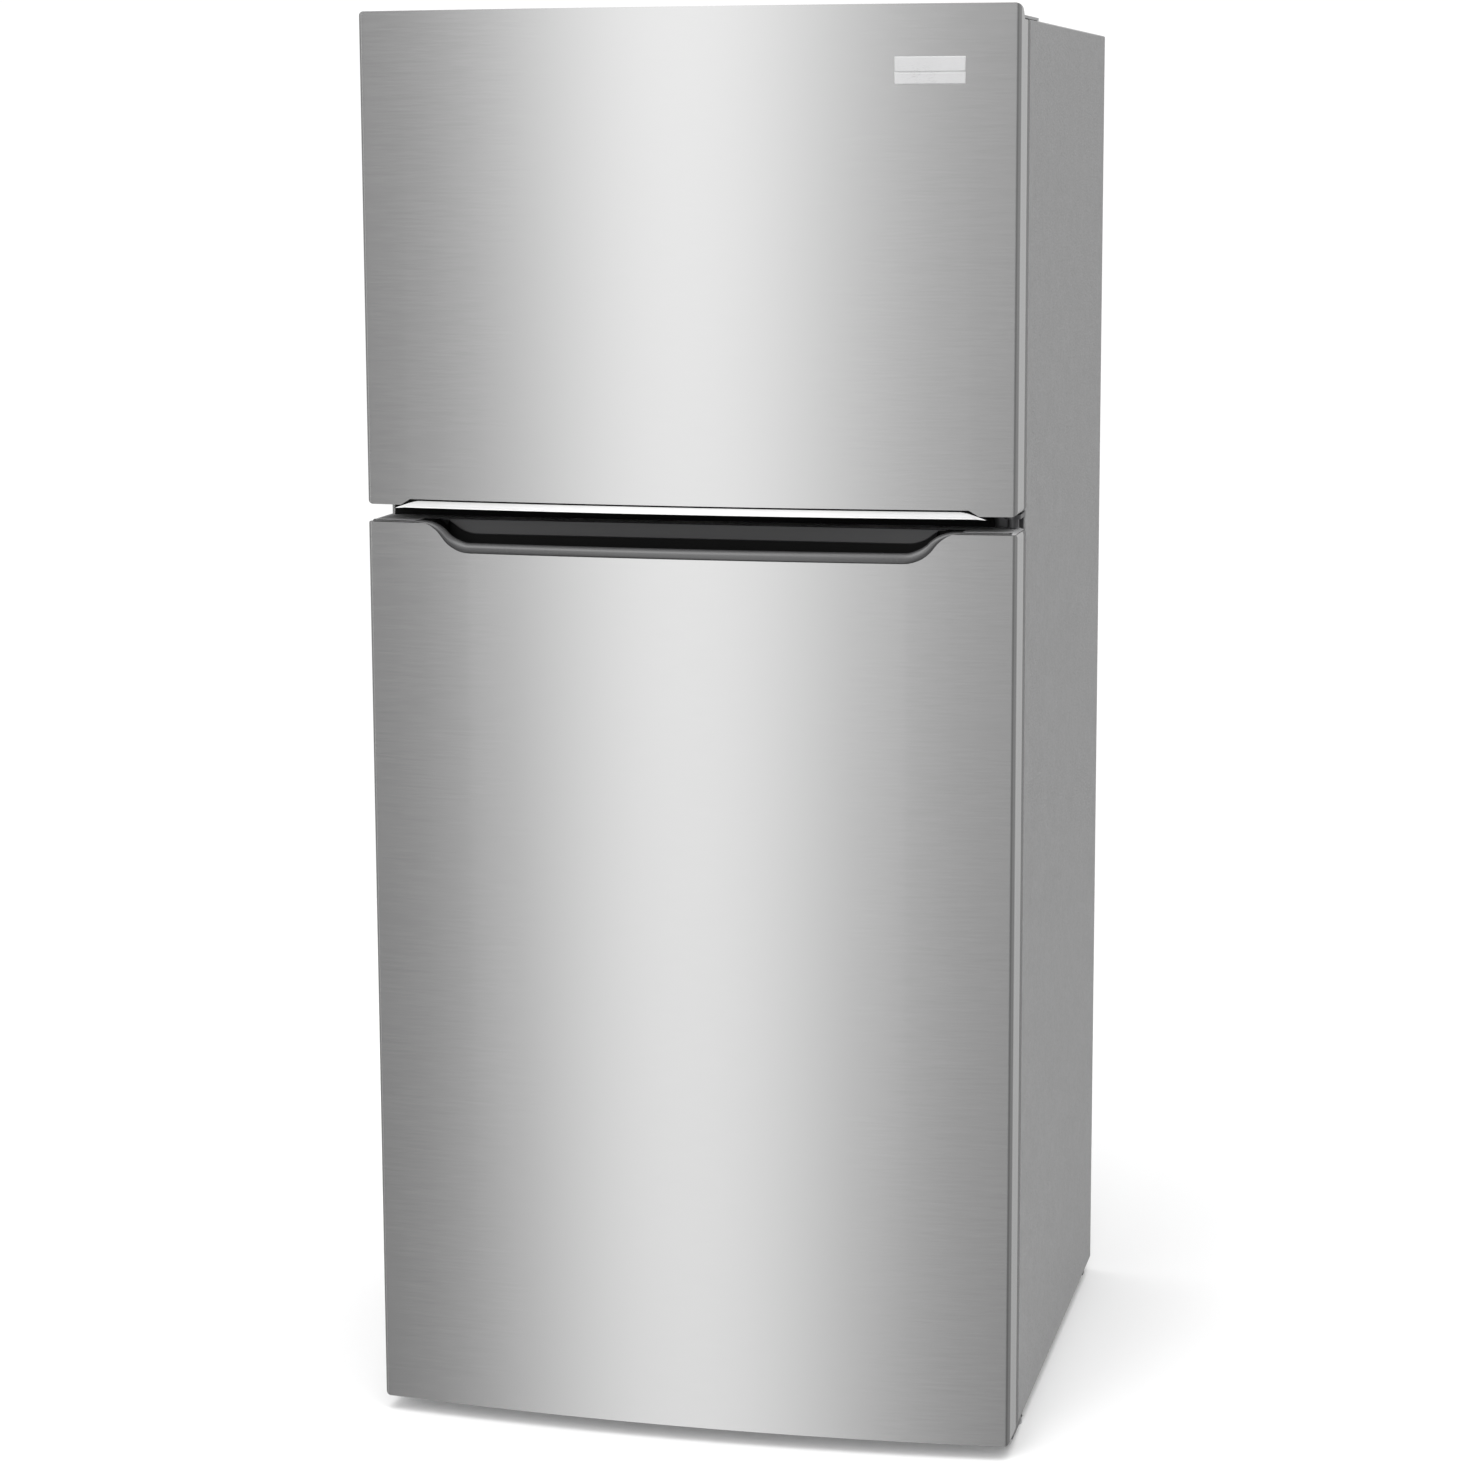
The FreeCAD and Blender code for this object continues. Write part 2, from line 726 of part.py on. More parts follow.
def bottom_screw_holes():
    z = fridge_door_bottom - hinge_gap - bottom_hinge_plate
    return [screw((x, y, z), (0, 0, -1), screw_gap, False) for x, y in bottom_screw_places()]


def hinge_screws():
    z_top = top + top_hinge_plate
    z_bottom = fridge_door_bottom - hinge_gap - bottom_hinge_plate
    screws = [screw((x, y, z_top), (0, 0, 1)) for x, y in top_screw_places()]
    screws += [screw((x, front - base_sheet, z), (0, -1, 0)) for x, z in centre_screw_places()]
    return screws + [screw((x, y, z_bottom), (0, 0, -1)) for x, y in bottom_screw_places()]


def arm(z0, z1, y_end):
    """A flat hinge arm: round at its pin, straight back to y_end."""
    nose = cylinder((hinge_x, hinge_y, z0), (0, 0, 1), arm_half, z1 - z0)
    body = box(hinge_x - arm_half, side, hinge_y, y_end, z0, z1)
    limit = box(hinge_x - arm_half, side, hinge_y - arm_half, y_end, z0, z1)
    return fuse([nose, body]).common(limit)


def top_hinge():
    z1 = top + top_hinge_plate
    y1 = front + top_plate_reach
    plate = fuse([arm(top, z1, y1), box(hinge_x - top_plate_width, hinge_x, front, y1, top, z1)])
    pin = cylinder((hinge_x, hinge_y, top - pin_length), (0, 0, 1), pin_radius, pin_length)
    return drilled(fuse([plate, pin]), top_screw_holes())


def top_hinge_cover():
    """Plastic hood over the top hinge's screws, lower than the door's top edge."""
    x0 = hinge_x - top_plate_width - hood_margin
    x1 = hinge_x - hood_inset
    y0 = front + hood_margin
    y1 = front + top_plate_reach + hood_margin / 2
    z1 = top + door_rise - hood_wall
    hood = rounded_box(x0, x1, y0, y1, top, z1, hood_radius)
    room = box(x0 + hood_wall, x1 - hood_wall, y0 + hood_wall, y1 - hood_wall, top - hood_wall,
               z1 - hood_wall)
    passage = box(hinge_x - top_plate_width - drawer_rest, side, front - hood_wall,
                  front + top_plate_reach + drawer_rest, top - hood_wall,
                  top + top_hinge_plate + drawer_rest)
    return hood.cut(room).cut(passage)


def centre_hinge():
    """Plate between the doors, with a pin up into one and down into the other."""
    z1 = freezer_door_bottom - hinge_gap
    z0 = z1 - centre_hinge_plate
    plate = arm(z0, z1, front)
    flange = box(hinge_x - flange_width, side - hinge_clear, front - base_sheet, front,
                 fridge_door_top - hinge_clear, freezer_door_bottom + hinge_clear)
    gusset = box(hinge_x - 2 * arm_half, hinge_x, front - gasket_gap, front, z0, z1)
    pin_low = fridge_door_top - pin_length
    pin_high = freezer_door_bottom + pin_length
    pin = cylinder((hinge_x, hinge_y, pin_low), (0, 0, 1), pin_radius, pin_high - pin_low)
    collar_low = fridge_door_top + hinge_gap
    collar = cylinder((hinge_x, hinge_y, collar_low), (0, 0, 1), 1.6 * pin_radius, z0 - collar_low)
    return drilled(fuse([plate, flange, gusset, pin, collar]), centre_screw_holes())


def bottom_hinge():
    """Plate under the lower door, packed up to the base frame behind it, with a pin up."""
    z1 = fridge_door_bottom - hinge_gap
    z0 = z1 - bottom_hinge_plate
    x0 = hinge_x - flange_width
    y1 = front + bottom_plate_reach
    plate = arm(z0, z1, y1)
    pad = box(x0, side, front + hinge_gap, y1, z0, bottom)
    pin = cylinder((hinge_x, hinge_y, z0), (0, 0, 1), pin_radius, z1 - z0 + pin_length)
    return drilled(fuse([plate, pad, pin]), bottom_screw_holes())


# ---------------------------------------------------------------- doors

def bow_y(x, inset=0.0):
    """The door's front face at x, moved inwards by inset."""
    return bow_centre - math.sqrt((bow_radius - inset) ** 2 - x ** 2)


def door_prism(inset, y_back, z0, z1):
    """The door's section seen from above, its faces moved inwards by inset, raised from z0 to z1."""
    half = door_half - inset
    left = Vector(-half, bow_y(half, inset), z0)
    middle = Vector(0, bow_y(0, inset), z0)
    right = Vector(half, bow_y(half, inset), z0)
    edges = [
        Part.Arc(left, middle, right).toShape(),
        Part.makeLine(right, Vector(half, y_back, z0)),
        Part.makeLine(Vector(half, y_back, z0), Vector(-half, y_back, z0)),
        Part.makeLine(Vector(-half, y_back, z0), left),
    ]
    shape = Part.Face(Part.Wire(edges)).extrude(Vector(0, 0, z1 - z0))
    radius = door_corner - inset
    if radius < least_radius:
        return shape
    corners = [e for e in edges_along(shape, Vector(0, 0, 1)) if e.CenterOfMass.y < y_back - radius]
    return shape.makeFillet(radius, corners)


def door_face(z0, z1):
    """A door's outline seen from the front, with round corners."""
    return rounded_box(-door_half, door_half, door_edge - 2 * door_bow, front, z0, z1, face_corner,
                       (0, 1, 0))


def door_core(z0, z1):
    """What lies within a door's skin, seen from the front. It is open at the top and bottom."""
    y0 = door_edge - 2 * door_bow
    half = door_half - sheet
    rounded = rounded_box(-half, half, y0, front, z0 + sheet, z1 - sheet, face_corner - sheet,
                          (0, 1, 0))
    half = door_half - face_corner
    return fuse([rounded, box(-half, half, y0, front, z0 - sheet, z1 + sheet)])


def door_skin(z0, z1):
    """Steel front, wrapped round both sides and turned in behind."""
    shell = door_prism(0, skin_back, z0, z1).common(door_face(z0, z1))
    room = door_prism(sheet, skin_back - sheet, z0 - sheet, z1 + sheet).common(door_core(z0, z1))
    half = door_half - sheet - door_return
    window = box(-half, half, skin_back - 2 * sheet, skin_back + sheet, z0 - sheet, z1 + sheet)
    return shell.cut(room).cut(window)


def door_slab(z0, z1):
    """Insulation that fills a door's skin."""
    half = door_half - sheet - door_return
    slab = door_prism(sheet, skin_back - sheet, z0, z1)
    return fuse([slab, box(-half, half, skin_back - sheet, skin_back, z0, z1)])


def dyke_box(half, z0, z1, grow):
    """Outside of the ridge round a door liner, with its faces moved inwards by grow."""
    outside = half - dyke_gap - grow
    return (outside, z0 + dyke_gap + grow, z1 - dyke_gap - grow)


def dyke_blocks(half, z0, z1):
    """Insulation inside a door liner's ridge, as four straight blocks."""
    x1, low, high = dyke_box(half, z0, z1, liner_sheet)
    width = dyke_width - 2 * liner_sheet
    y0 = skin_back
    y1 = front + dyke_reach - liner_sheet
    upright = box(x1 - width, x1, y0, y1, low, high)
    reach = x1 - width
    return [
        upright,
        mirrored(upright),
        box(-reach, reach, y0, y1, low, low + width),
        box(-reach, reach, y0, y1, high - width, high),
    ]


def door_liner(half, z0, z1, door_low, door_high):
    """Plastic back of a door, with the ridge that holds the bins."""
    plate = box(-door_half + liner_margin, door_half - liner_margin, skin_back, door_back,
                door_low + liner_margin, door_high - liner_margin)
    x1, low, high = dyke_box(half, z0, z1, 0)
    inner = x1 - dyke_width
    y1 = front + dyke_reach
    ridge = rounded_box(-x1, x1, door_back - liner_sheet / 2, y1, low, high, dyke_radius, (0, 1, 0))
    well = rounded_box(-inner, inner, door_back, y1 + over, low + dyke_width, high - dyke_width,
                       dyke_radius / 2, (0, 1, 0))
    liner = fuse([plate, ridge.cut(well)])
    for block in dyke_blocks(half, z0, z1):
        liner = liner.cut(block)
    return liner


def door_gasket(z0, z1):
    """Hollow-looking magnetic seal, as a plain ring."""
    x1 = door_half - gasket_inset
    y0 = door_back + soft_gap
    y1 = front - soft_gap
    low = z0 + gasket_inset
    high = z1 - gasket_inset
    ring = box(-x1, x1, y0, y1, low, high)
    return ring.cut(box(-x1 + gasket_width, x1 - gasket_width, y0 - over, y1 + over, low + gasket_width,
                        high - gasket_width))


def pin_bore(z0, z1):
    """Bearing hole for a hinge pin."""
    return cylinder((hinge_x, hinge_y, z0), (0, 0, 1), pin_radius + running_gap, z1 - z0)


def top_slope_cut():
    """What is taken off the freezer door's top behind its raised front edge."""
    y0 = door_edge + parapet_depth
    y1 = door_edge + parapet_back
    high = freezer_door_top + over
    low = freezer_door_low_top
    side_view = [(y0, freezer_door_top), (y1, low), (front, low), (front, high), (y0, high)]
    return prism([(-door_half - over, y, z) for y, z in side_view], (2 * door_half + 2 * over, 0, 0))


def bar_profile(raise_by, y0, y1):
    """Long shape of the grip bar, seen from the front, pushed from y0 to y1."""
    z0 = freezer_door_bottom - bar_drop - raise_by
    z1 = freezer_door_bottom + bar_rise + raise_by
    points = [(-bar_half - raise_by, y0, z0), (bar_half + raise_by, y0, z0),
              (bar_top_half + raise_by, y0, z1), (-bar_top_half - raise_by, y0, z1)]
    return prism(points, (0, y1 - y0, 0))


def grip_bar():
    """Bright bar that follows the bow of the door."""
    z0 = freezer_door_bottom - bar_drop
    z1 = freezer_door_bottom + bar_rise
    band = door_prism(bar_inset, skin_back, z0, z1).cut(
        door_prism(bar_inset + bar_thick, skin_back + over, z0 - over, z1 + over))
    return band.common(bar_profile(0, door_edge - 2 * door_bow, skin_back))


def grip_room():
    """Finger trough behind the grip bar."""
    z0 = freezer_door_bottom - over
    z1 = freezer_door_bottom + grip_depth
    half = bar_top_half - 2 * grip_width
    y1 = door_edge + bar_thick + grip_width
    room = door_prism(bar_inset + bar_thick, skin_back - 2 * cap_thick, z0, z1)
    return room.common(box(-half, half, door_edge - 2 * door_bow, y1, z0, z1))


def grip_shell():
    """The trough's wall, before the trough is taken out of it."""
    z0 = freezer_door_bottom
    z1 = freezer_door_bottom + grip_depth + pocket_wall
    half = bar_top_half - 2 * grip_width + pocket_wall
    y1 = door_edge + bar_thick + grip_width + pocket_wall
    room = door_prism(bar_inset + bar_thick, skin_back - cap_thick, z0, z1)
    return room.common(box(-half, half, door_edge - 2 * door_bow, y1, z0, z1))


def bar_seat():
    """The grip bar with its shadow gap, taken out of the skin, the cap and the insulation."""
    y0 = door_edge - 2 * door_bow
    z0 = freezer_door_bottom - 2 * bar_drop
    z1 = freezer_door_bottom + bar_rise + bar_seam
    reach = bar_inset + bar_thick
    band = door_prism(-over, skin_back + 2 * over, z0, z1).cut(
        door_prism(reach, skin_back + 3 * over, z0 - over, z1 + over))
    return band.common(bar_profile(bar_seam, y0, skin_back))


def freezer_door():
    """Every piece of the upper door, by name."""
    z0 = freezer_door_bottom
    z1 = freezer_door_top
    low_top = freezer_door_low_top
    cap_room = pin_length + cap_thick
    slope = top_slope_cut()
    core = door_core(z0, z1)
    seat = bar_seat()
    trough = grip_room()
    bottom_plate = door_prism(sheet, skin_back - sheet, z0, z0 + cap_thick)
    boss_low = cylinder((hinge_x, hinge_y, z0), (0, 0, 1), 2 * pin_radius, cap_room)
    boss_low = boss_low.common(door_prism(sheet, skin_back - sheet, z0, z0 + cap_room))
    bottom_cap = fuse([bottom_plate, grip_shell(), boss_low]).common(core).cut(seat).cut(trough)
    bottom_cap = bottom_cap.cut(pin_bore(z0 - over, z0 + pin_length + over))
    top_plate = door_prism(sheet, skin_back - sheet, low_top - cap_thick, z1)
    boss_high = cylinder((hinge_x, hinge_y, low_top - cap_room), (0, 0, 1), 2 * pin_radius, cap_room)
    boss_high = boss_high.common(door_prism(sheet, skin_back - sheet, low_top - cap_room, low_top))
    top_cap = fuse([top_plate, boss_high]).common(core).cut(slope)
    top_cap = top_cap.cut(pin_bore(low_top - pin_length - over, z1 + over))
    slab = door_slab(z0 + cap_thick, low_top - cap_thick).common(core)
    slab = slab.cut(bottom_cap).cut(top_cap).cut(seat).cut(trough)
    slab = slab.cut(pin_bore(z0, z0 + pin_length + over)).cut(pin_bore(low_top - pin_length - over, z1))
    skin = door_skin(z0, z1).cut(slope).cut(seat)
    return {
        "freezer_door_skin": [skin],
        "freezer_door_foam": [slab] + dyke_blocks(freezer_half, freezer_floor, freezer_ceiling),
        "freezer_door_liner": [door_liner(freezer_half, freezer_floor, freezer_ceiling, z0, low_top)],
        "freezer_door_gasket": [door_gasket(z0, low_top)],
        "freezer_door_top_cap": [top_cap],
        "freezer_door_bottom_cap": [bottom_cap],
        "freezer_grip_bar": [grip_bar()],
        "front_plate": [front_plate()],
        "freezer_door_bins": door_bins(freezer_half, freezer_floor, freezer_bins),
    }


def front_plate():
    """Thin plain plate on the freezer door's face, with one level groove."""
    z1 = freezer_door_top - plate_drop
    z0 = z1 - plate_height
    x1 = plate_left + plate_width
    band = door_prism(-plate_thick, skin_back, z0, z1)
    band = band.cut(door_prism(-plate_film, skin_back + over, z0 - over, z1 + over))
    window = rounded_box(plate_left, x1, door_edge - 2 * door_bow, door_edge + door_bow, z0, z1,
                         2.0, (0, 1, 0))
    groove_z = z1 - plate_groove_drop
    groove = door_prism(0, skin_back, groove_z - plate_groove / 2, groove_z + plate_groove / 2)
    shell = door_prism(-plate_thick - over, skin_back, groove_z - plate_groove / 2,
                       groove_z + plate_groove / 2)
    floor_of_groove = door_prism(-plate_thick / 2, skin_back, groove_z - plate_groove,
                                 groove_z + plate_groove)
    return band.common(window).cut(shell.cut(groove).cut(floor_of_groove))


def pocket_profile(lift, y0, y1):
    """Above the pocket's S-shaped edge, raised by lift, seen from the front, from y0 to y1."""
    full_bend = 2 * math.atan(pocket_drop / (pocket_half - pocket_floor_half))
    outer = pocket_half - lift * math.tan(full_bend / 2)
    inner = pocket_floor_half - lift * math.tan(full_bend / 2)
    z_low = fridge_door_top - pocket_drop + lift
    half_run = (outer - inner) / 2
    bend = 2 * math.atan((pocket_drop - lift) / (outer - inner))
    arc_radius = half_run / math.sin(bend)
    bulge_x = arc_radius * math.sin(bend / 2)
    bulge_z = arc_radius * (1 - math.cos(bend / 2))
    z_roof = fridge_door_top + pocket_drop
    edges = []
    for sign in (1, -1):
        high = Vector(sign * outer, y0, fridge_door_top)
        low = Vector(sign * inner, y0, z_low)
        middle = (high + low) * 0.5
        lower_mid = Vector(sign * (inner + bulge_x), y0, z_low + bulge_z)
        upper_mid = Vector(sign * (outer - bulge_x), y0, fridge_door_top - bulge_z)
        edges += [
            Part.Arc(low, lower_mid, middle).toShape(),
            Part.Arc(middle, upper_mid, high).toShape(),
            Part.makeLine(high, Vector(sign * outer, y0, z_roof)),
        ]
    edges.append(Part.makeLine(Vector(-outer, y0, z_roof), Vector(outer, y0, z_roof)))
    edges.append(Part.makeLine(Vector(-inner, y0, z_low), Vector(inner, y0, z_low)))
    wire = Part.Wire(Part.__sortEdges__(edges))
    return Part.Face(wire).extrude(Vector(0, y1 - y0, 0))


def pocket_back():
    return door_edge - door_bow + pocket_reach


def pocket_well_box(grow):
    """The pocket behind its lip, with its walls moved outwards by grow."""
    half = pocket_floor_half + pocket_run / 2 + grow
    z0 = fridge_door_top - pocket_well - grow
    z1 = fridge_door_top + over
    room = door_prism(lip_thick - grow, skin_back, z0, z1)
    slot = box(-half, half, door_edge - 2 * door_bow, pocket_back() + grow, z0, z1)
    return room.common(slot)


def fridge_handle_pocket():
    """Top cap of the lower door, moulded with the handle's lip and pocket."""
    z1 = fridge_door_top
    y_front = door_edge - 2 * door_bow
    core = door_core(fridge_door_bottom, z1)
    edge = door_prism(0, skin_back, z1 - cap_edge, z1).common(door_face(fridge_door_bottom, z1))
    plate = door_prism(sheet, skin_back - sheet, z1 - cap_edge - cap_thick, z1 - cap_edge).common(core)
    boss_z = z1 - pin_length - cap_thick
    boss = cylinder((hinge_x, hinge_y, boss_z), (0, 0, 1), 2 * pin_radius, z1 - boss_z)
    boss = boss.common(door_prism(sheet, skin_back - sheet, boss_z, z1)).common(core)
    band = door_prism(0, skin_back, z1 - pocket_drop, z1)
    band = band.common(pocket_profile(0, y_front, pocket_back() + pocket_wall))
    well = pocket_well_box(pocket_wall).common(box(-door_half, door_half, y_front, skin_back,
                                                   z1 - pocket_well - pocket_wall, z1))
    body = fuse([edge, plate, boss, band, well])
    opening = pocket_profile(lip_height, y_front, pocket_back())
    body = body.cut(opening).cut(pocket_well_box(0))
    return body.cut(pin_bore(z1 - pin_length - over, z1 + over))


def fridge_door():
    """Every piece of the lower door, by name."""
    z0 = fridge_door_bottom
    z1 = fridge_door_top
    y_front = door_edge - 2 * door_bow
    cap_room = pin_length + cap_thick
    core = door_core(z0, z1)
    handle = fridge_handle_pocket()
    bottom_plate = door_prism(sheet, skin_back - sheet, z0, z0 + cap_thick)
    boss = cylinder((hinge_x, hinge_y, z0), (0, 0, 1), 2 * pin_radius, cap_room)
    boss = boss.common(door_prism(sheet, skin_back - sheet, z0, z0 + cap_room))
    bottom_cap = fuse([bottom_plate, boss]).common(core).cut(pin_bore(z0 - over, z0 + pin_length))
    above = box(-door_half - over, door_half + over, y_front, front, z1 - cap_edge, z1 + over)
    skin = door_skin(z0, z1).cut(above).cut(pocket_profile(0, y_front, skin_back - 2 * sheet))
    slab = door_slab(z0 + cap_thick, z1 - cap_edge - cap_thick).common(core)
    slab = slab.cut(bottom_cap).cut(handle).cut(pocket_well_box(0))
    slab = slab.cut(pocket_profile(0, y_front, pocket_back() + pocket_wall))
    slab = slab.cut(pin_bore(z0, z0 + pin_length)).cut(pin_bore(z1 - pin_length - over, z1))
    return {
        "fridge_door_skin": [skin],
        "fridge_door_foam": [slab] + dyke_blocks(fridge_half, fridge_floor, fridge_ceiling),
        "fridge_door_liner": [door_liner(fridge_half, fridge_floor, fridge_ceiling, z0, z1)],
        "fridge_door_gasket": [door_gasket(z0, z1)],
        "fridge_handle_pocket": [handle],
        "fridge_door_bottom_cap": [bottom_cap],
        "fridge_door_bins": door_bins(fridge_half, fridge_floor, fridge_bins),
        "dairy_housing": [dairy_housing()],
        "dairy_lid": [dairy_lid()],
    }


def bin_half(half):
    """Half the length of a door bin, between the door liner's ridges."""
    return half - dyke_gap - dyke_width - bin_gap


def door_bins(half, z_floor, places):
    """Open tubs that hang between the door liner's ridges."""
    reach = bin_half(half)
    y0 = door_back + bin_gap
    y1 = front + bin_reach
    bins = []
    for rise, height in places:
        z0 = z_floor + rise
        outside = rounded_box(-reach, reach, y0, y1, z0, z0 + height, bin_radius)
        inside = rounded_box(-reach + bin_wall, reach - bin_wall, y0 + bin_wall, y1 - bin_wall,
                             z0 + bin_wall, z0 + height + over, bin_radius - bin_wall)
        rim = rounded_box(-reach, reach, y0, y1 + bin_wall, z0 + height - 3 * bin_wall,
                          z0 + height, bin_radius)
        bins.append(fuse([outside, rim]).cut(inside))
    return bins


def dairy_places():
    """Length, floor, top and hinge line of the dairy compartment."""
    reach = bin_half(fridge_half)
    z1 = dairy_top
    z0 = z1 - dairy_height
    pivot_y = front + dairy_pin
    pivot_z = z1 - 2 * dairy_pin
    return reach, z0, z1, pivot_y, pivot_z


def dairy_housing():
    """Open-fronted box on the door for butter, with bearing holes for its lid."""
    reach, z0, z1, pivot_y, pivot_z = dairy_places()
    y0 = door_back + bin_gap
    y1 = front + dairy_reach
    outside = box(-reach, reach, y0, y1, z0, z1)
    inside = box(-reach + dairy_wall, reach - dairy_wall, y0 + dairy_wall, y1 + over, z0 + dairy_wall,
                 z1 + over)
    front_lip = box(-reach, reach, y1 - dairy_wall, y1, z0, z0 + dairy_lip)
    shell = fuse([outside.cut(inside), front_lip])
    hole = cylinder((-reach - over, pivot_y, pivot_z), (1, 0, 0), dairy_pin + running_gap,
                    2 * reach + 2 * over)
    return shell.cut(hole)


def dairy_lid():
    """Lid over the top and the front, turning on pins in the housing's ends."""
    reach, z0, z1, pivot_y, pivot_z = dairy_places()
    x1 = reach - dairy_wall - soft_gap
    y0 = pivot_y - dairy_pin
    y1 = front + dairy_reach + dairy_wall + 2 * soft_gap
    low = z0 + dairy_lip + soft_gap
    outside = box(-x1, x1, y0, y1, low, z1)
    corner = [e for e in edges_along(outside, Vector(1, 0, 0))
              if e.CenterOfMass.y > y1 - over and e.CenterOfMass.z > z1 - over]
    outside = outside.makeFillet(dairy_lid_radius, corner)
    inside = box(-x1 - over, x1 + over, y0 - over, y1 - dairy_wall, low - over, z1 - dairy_wall)
    barrel = cylinder((-x1, pivot_y, pivot_z), (1, 0, 0), dairy_pin + lid_rib, 2 * x1)
    web = box(-x1, x1, pivot_y - lid_rib, pivot_y + lid_rib, pivot_z, z1 - dairy_wall / 2)
    pins = cylinder((-reach, pivot_y, pivot_z), (1, 0, 0), dairy_pin, 2 * reach)
    return fuse([outside.cut(inside), barrel, web, pins])


# ---------------------------------------------------------------- shelves and drawers

def shelf_plan():
    half = fridge_half - shelf_side_gap
    return half, shelf_front, shelf_back


def shelf_rim_frame(z_top):
    """Plastic rim round a shelf's glass."""
    half, y0, y1 = shelf_plan()
    z0 = z_top - shelf_thick
    rim = rounded_box(-half, half, y0, y1, z0, z_top, shelf_radius)
    window = box(-half + shelf_rim, half - shelf_rim, y0 + shelf_rim, y1 - shelf_rim, z0 - over,
                 z_top + over)
    return rim.cut(window).cut(glass_plan(z_top, soft_gap))


def shelf_arms(z_top):
    """Two steel arms under a shelf's rim, which hook on the tracks behind it."""
    z0 = z_top - shelf_thick
    y0 = shelf_front + shelf_rim
    y1 = track_front - drawer_rest
    arm_x = track_x - arm_thick / 2
    points = [(arm_x, y0, z0), (arm_x, y1, z0), (arm_x, y1, z0 - arm_drop),
              (arm_x, y1 - 3 * track_width, z0 - arm_drop), (arm_x, y0, z0 - arm_drop / 4)]
    arm_plate = prism(points, (arm_thick, 0, 0))
    return [arm_plate, mirrored(arm_plate)]


def glass_plan(z_top, grow):
    """A shelf's glass, with its edges moved outwards by grow."""
    half, y0, y1 = shelf_plan()
    edge = shelf_rim / 3
    return box(-half + edge - grow, half - edge + grow, y0 + edge - grow, y1 - edge + grow,
               z_top - glass_thick, z_top + grow)


def shelf_tracks():
    """Two slotted steel uprights on the compartment's back wall."""
    x0 = track_x - track_width / 2
    z0 = shelf_tops[0] - track_below
    z1 = shelf_tops[-1] + track_above
    track = box(x0, x0 + track_width, track_front, fridge_rear, z0, z1)
    for step in range(1, int((z1 - z0) / track_pitch)):
        z = z0 + step * track_pitch
        track = track.cut(box(track_x - track_slot_half, track_x + track_slot_half, track_front - over,
                              fridge_rear - liner_sheet, z, z + track_slot))
    return [track, mirrored(track)]


def cover_plan():
    return fridge_half - shelf_side_gap / 2, front + cover_setback, fridge_rear - bin_gap


def crisper_cover_frame():
    """Frame over the two lower drawers, with slots for the humidity sliders."""
    half, y0, y1 = cover_plan()
    frame = box(-half, half, y0, y1, cover_bottom, cover_top)
    for x0, x1 in ((-half + cover_rim, -cover_rim / 2), (cover_rim / 2, half - cover_rim)):
        frame = frame.cut(box(x0, x1, y0 + cover_rim, y1 - cover_rim, cover_bottom - over, cover_top + over))
    frame = frame.cut(cover_glass(soft_gap))
    for middle in slider_places():
        slot = box(middle - slider_slot / 2, middle + slider_slot / 2, y0 - over, y0 + slider_depth,
                   slider_z() - soft_gap, slider_z() + slider_height + soft_gap)
        frame = frame.cut(slot)
    return frame


def cover_glass(grow):
    half, y0, y1 = cover_plan()
    edge = cover_rim / 2
    return box(-half + edge - grow, half - edge + grow, y0 + edge - grow, y1 - edge + grow,
               cover_top - glass_thick, cover_top + grow)


def slider_places():
    middle = (fridge_half + crisper_gap) / 2
    return -middle, middle


def slider_z():
    return cover_bottom + (cover_thick - slider_height - glass_thick) / 2


def humidity_slider(middle):
    """Small tab that slides in the cover's front slot."""
    y0 = cover_plan()[1]
    z0 = slider_z()
    z1 = z0 + slider_height
    body = box(middle - slider_width / 2, middle + slider_width / 2, y0 + soft_gap,
               y0 + slider_depth - soft_gap, z0, z1)
    tab = box(middle - slider_tab / 2, middle + slider_tab / 2, y0 - slider_tab_reach, y0 + soft_gap,
              z0, z1)
    return fuse([body, tab])


def drawer_tub(x0, x1, y0, y1, z0, z1):
    outside = rounded_box(x0, x1, y0, y1, z0, z1, drawer_radius)
    inside = rounded_box(x0 + drawer_wall, x1 - drawer_wall, y0 + drawer_wall, y1 - drawer_wall,
                         z0 + drawer_wall, z1 + over, drawer_radius - drawer_wall)
    return outside.cut(inside)


def drawer_grip(x0, x1, y_face, z_top):
    """Hollow-backed grip along a drawer's top edge."""
    bar = rounded_box(x0, x1, y_face - grip_reach, y_face + over, z_top - grip_height, z_top,
                      drawer_face_radius)
    scoop = box(x0 + grip_wall, x1 - grip_wall, y_face - grip_reach + grip_wall, y_face,
                z_top - grip_height - over, z_top - grip_wall)
    return bar.cut(scoop)


def crisper():
    """Right-hand lower drawer, with a thicker front and a grip under its top edge."""
    x0 = crisper_gap / 2
    x1 = fridge_half - liner_radius
    y0 = front + drawer_setback
    y1 = step_front - crisper_gap
    z0 = fridge_floor + drawer_rest
    z1 = crisper_top
    tub = drawer_tub(x0, x1, y0 + drawer_face / 2, y1, z0, z1)
    face = rounded_box(x0, x1, y0, y0 + drawer_face, z0, z1, drawer_face_radius, (0, 1, 0))
    grip = drawer_grip(x0 + crisper_grip_margin, x1 - crisper_grip_margin, y0, z1)
    return fuse([tub, face, grip])


